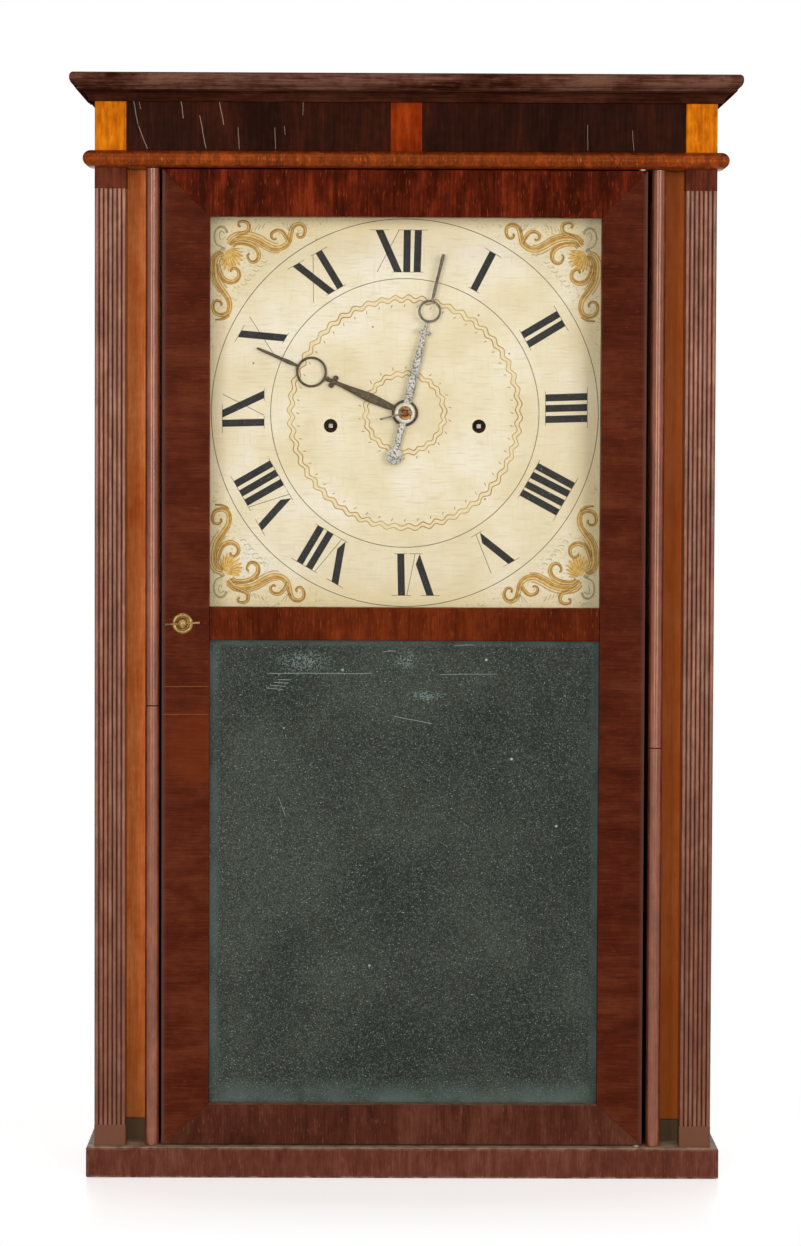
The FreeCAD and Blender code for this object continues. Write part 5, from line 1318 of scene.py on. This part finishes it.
class CLOCK_OT_stage(bpy.types.Operator):
    """Add the white floor, the soft lights and the camera"""
    bl_idname = "clock.stage"
    bl_label = "Stage"

    def execute(self, context):
        stage = context.scene.clock_stage
        self.lay_floor()
        self.light_world(context.scene, stage)
        lamps = (("Key", (1.5, -2.5, 0.9), stage.key, 0.8, 0.8, False),
                 ("Fill", (-0.4, -3.3, 0.8), stage.fill, 0.8, 0.8, False),
                 ("Left strip", (-1.0, -2.9, 0.75), stage.strip, 0.5, 1.3, True),
                 ("Right strip", (1.0, -2.9, 0.75), stage.strip, 0.5, 1.3, True),
                 ("Top strip", (0.0, -2.0, 2.7), 0.4 * stage.strip, 1.8, 0.4, True))
        aim = Vector((0, 0, 0.45))
        for name, place, power, wide, tall, glossy in lamps:
            light = bpy.data.lights.new(name, "AREA")
            light.shape = "RECTANGLE"
            light.energy = power
            light.size = wide
            light.size_y = tall
            lamp = bpy.data.objects.new(name, light)
            lamp.visible_glossy = glossy
            lamp.location = place
            lamp.rotation_euler = (aim - lamp.location).to_track_quat("-Z", "Y").to_euler()
            context.scene.collection.objects.link(lamp)
        forward = Vector((math.sin(stage.yaw), math.cos(stage.yaw), 0))
        side = Vector((math.cos(stage.yaw), -math.sin(stage.yaw), 0))
        up = Vector((0, 0, 1)) * math.cos(stage.pitch) + forward * math.sin(stage.pitch)
        ahead = forward * math.cos(stage.pitch) - Vector((0, 0, 1)) * math.sin(stage.pitch)
        right = side * math.cos(stage.roll) + up * math.sin(stage.roll)
        above = up * math.cos(stage.roll) - side * math.sin(stage.roll)
        view = Matrix((right, above, -ahead)).transposed().to_4x4()
        view.translation = Vector(stage.eye)
        lens = bpy.data.cameras.new("Camera")
        lens.sensor_fit = "VERTICAL"
        lens.sensor_height = 36.0
        lens.lens = stage.lens
        camera = bpy.data.objects.new("Camera", lens)
        camera.matrix_world = view
        context.scene.collection.objects.link(camera)
        context.scene.camera = camera
        context.scene.view_settings.view_transform = "Standard"
        return {"FINISHED"}

    def lay_floor(self):
        """A square floor: white paper that keeps the clock's shadow, fading to plain white further off.

        It throws little light back up at the clock.
        """
        reach = 6.0
        mesh = bpy.data.meshes.new("floor")
        mesh.from_pydata([(-reach, -reach, 0), (reach, -reach, 0), (reach, reach, 0), (-reach, reach, 0)],
                         [], [(0, 1, 2, 3)])
        floor = bpy.data.objects.new("floor", mesh)
        bpy.context.scene.collection.objects.link(floor)
        material, tree, shader, coords = new_finish("white_paper")
        feed(tree, shader, {"Base Color": linear("#f8f1ed"), "Roughness": 0.35,
                            "Emission Color": (1, 1, 1, 1), "Emission Strength": 0.54})
        bounce = add(tree, "LightPath").outputs["Is Diffuse Ray"]
        wide = add(tree, "Mapping", {"Vector": coords, "Scale": (1, 2, 1)}).outputs[0]
        off = add(tree, "VectorMath", {0: wide}, operation="LENGTH").outputs["Value"]
        far = add(tree, "MapRange", {"Value": off, "From Min": 0.3, "From Max": 0.6}).outputs[0]
        plain = add(tree, "Math", {0: far, 1: bounce}, operation="MAXIMUM").outputs[0]
        level = add(tree, "Mix", {0: bounce, 2: 1.0, 3: 0.18}).outputs[0]
        white = add(tree, "Emission", {"Color": (1, 1, 1, 1), "Strength": level}).outputs[0]
        mixed = add(tree, "MixShader", {0: plain, 1: shader.outputs[0], 2: white}).outputs[0]
        tree.links.new(mixed, tree.nodes["Material Output"].inputs["Surface"])
        mesh.materials.append(material)

    def light_world(self, scene, stage):
        """White to the camera, in gloss and through glass, and a plain dim room as a light."""
        world = bpy.data.worlds.new("studio")
        scene.world = world
        world.use_nodes = True
        tree = world.node_tree
        path = add(tree, "LightPath")
        seen = 0.0
        for ray in ("Is Camera Ray", "Is Glossy Ray", "Is Transmission Ray"):
            seen = add(tree, "Math", {0: path.outputs[ray], 1: seen}, operation="MAXIMUM").outputs[0]
        level = add(tree, "Mix", {0: seen, 2: stage.ambient, 3: 1.0}).outputs[0]
        feed(tree, tree.nodes["Background"], {"Color": (1, 1, 1, 1), "Strength": level})


OPERATORS = (CLOCK_OT_top_and_base, CLOCK_OT_frieze, CLOCK_OT_columns, CLOCK_OT_boards, CLOCK_OT_door,
             CLOCK_OT_latch, CLOCK_OT_dial, CLOCK_OT_hands, CLOCK_OT_movement, CLOCK_OT_stage)
GROUPS = {"clock_case": ClockCaseSettings, "clock_dial": ClockDialSettings,
          "clock_hands": ClockHandSettings, "clock_colours": ClockColourSettings,
          "clock_stage": ClockStageSettings}


class CLOCK_PT_parts(bpy.types.Panel):
    """Lists the clock's settings and the operators that make its pieces"""
    bl_idname = "CLOCK_PT_parts"
    bl_label = "Column Shelf Clock"
    bl_space_type = "VIEW_3D"
    bl_region_type = "UI"
    bl_category = "Clock"

    def draw(self, context):
        for name, group in GROUPS.items():
            box = self.layout.box()
            for key in group.__annotations__:
                box.prop(getattr(context.scene, name), key)
        for operator in OPERATORS:
            self.layout.operator(operator.bl_idname)


def register():
    """Make the settings, operators and panel known to Blender."""
    for item in (*GROUPS.values(), *OPERATORS, CLOCK_PT_parts):
        bpy.utils.register_class(item)
    for name, group in GROUPS.items():
        setattr(bpy.types.Scene, name, bpy.props.PointerProperty(type=group))


def unregister():
    """Take them out again, last first."""
    for name in GROUPS:
        delattr(bpy.types.Scene, name)
    for item in (CLOCK_PT_parts, *reversed(OPERATORS), *reversed(GROUPS.values())):
        bpy.utils.unregister_class(item)


def main():
    """Make every piece in order."""
    register()
    for operator in OPERATORS:
        group, name = operator.bl_idname.split(".")
        getattr(getattr(bpy.ops, group), name)()


if __name__ == "__main__":
    main()
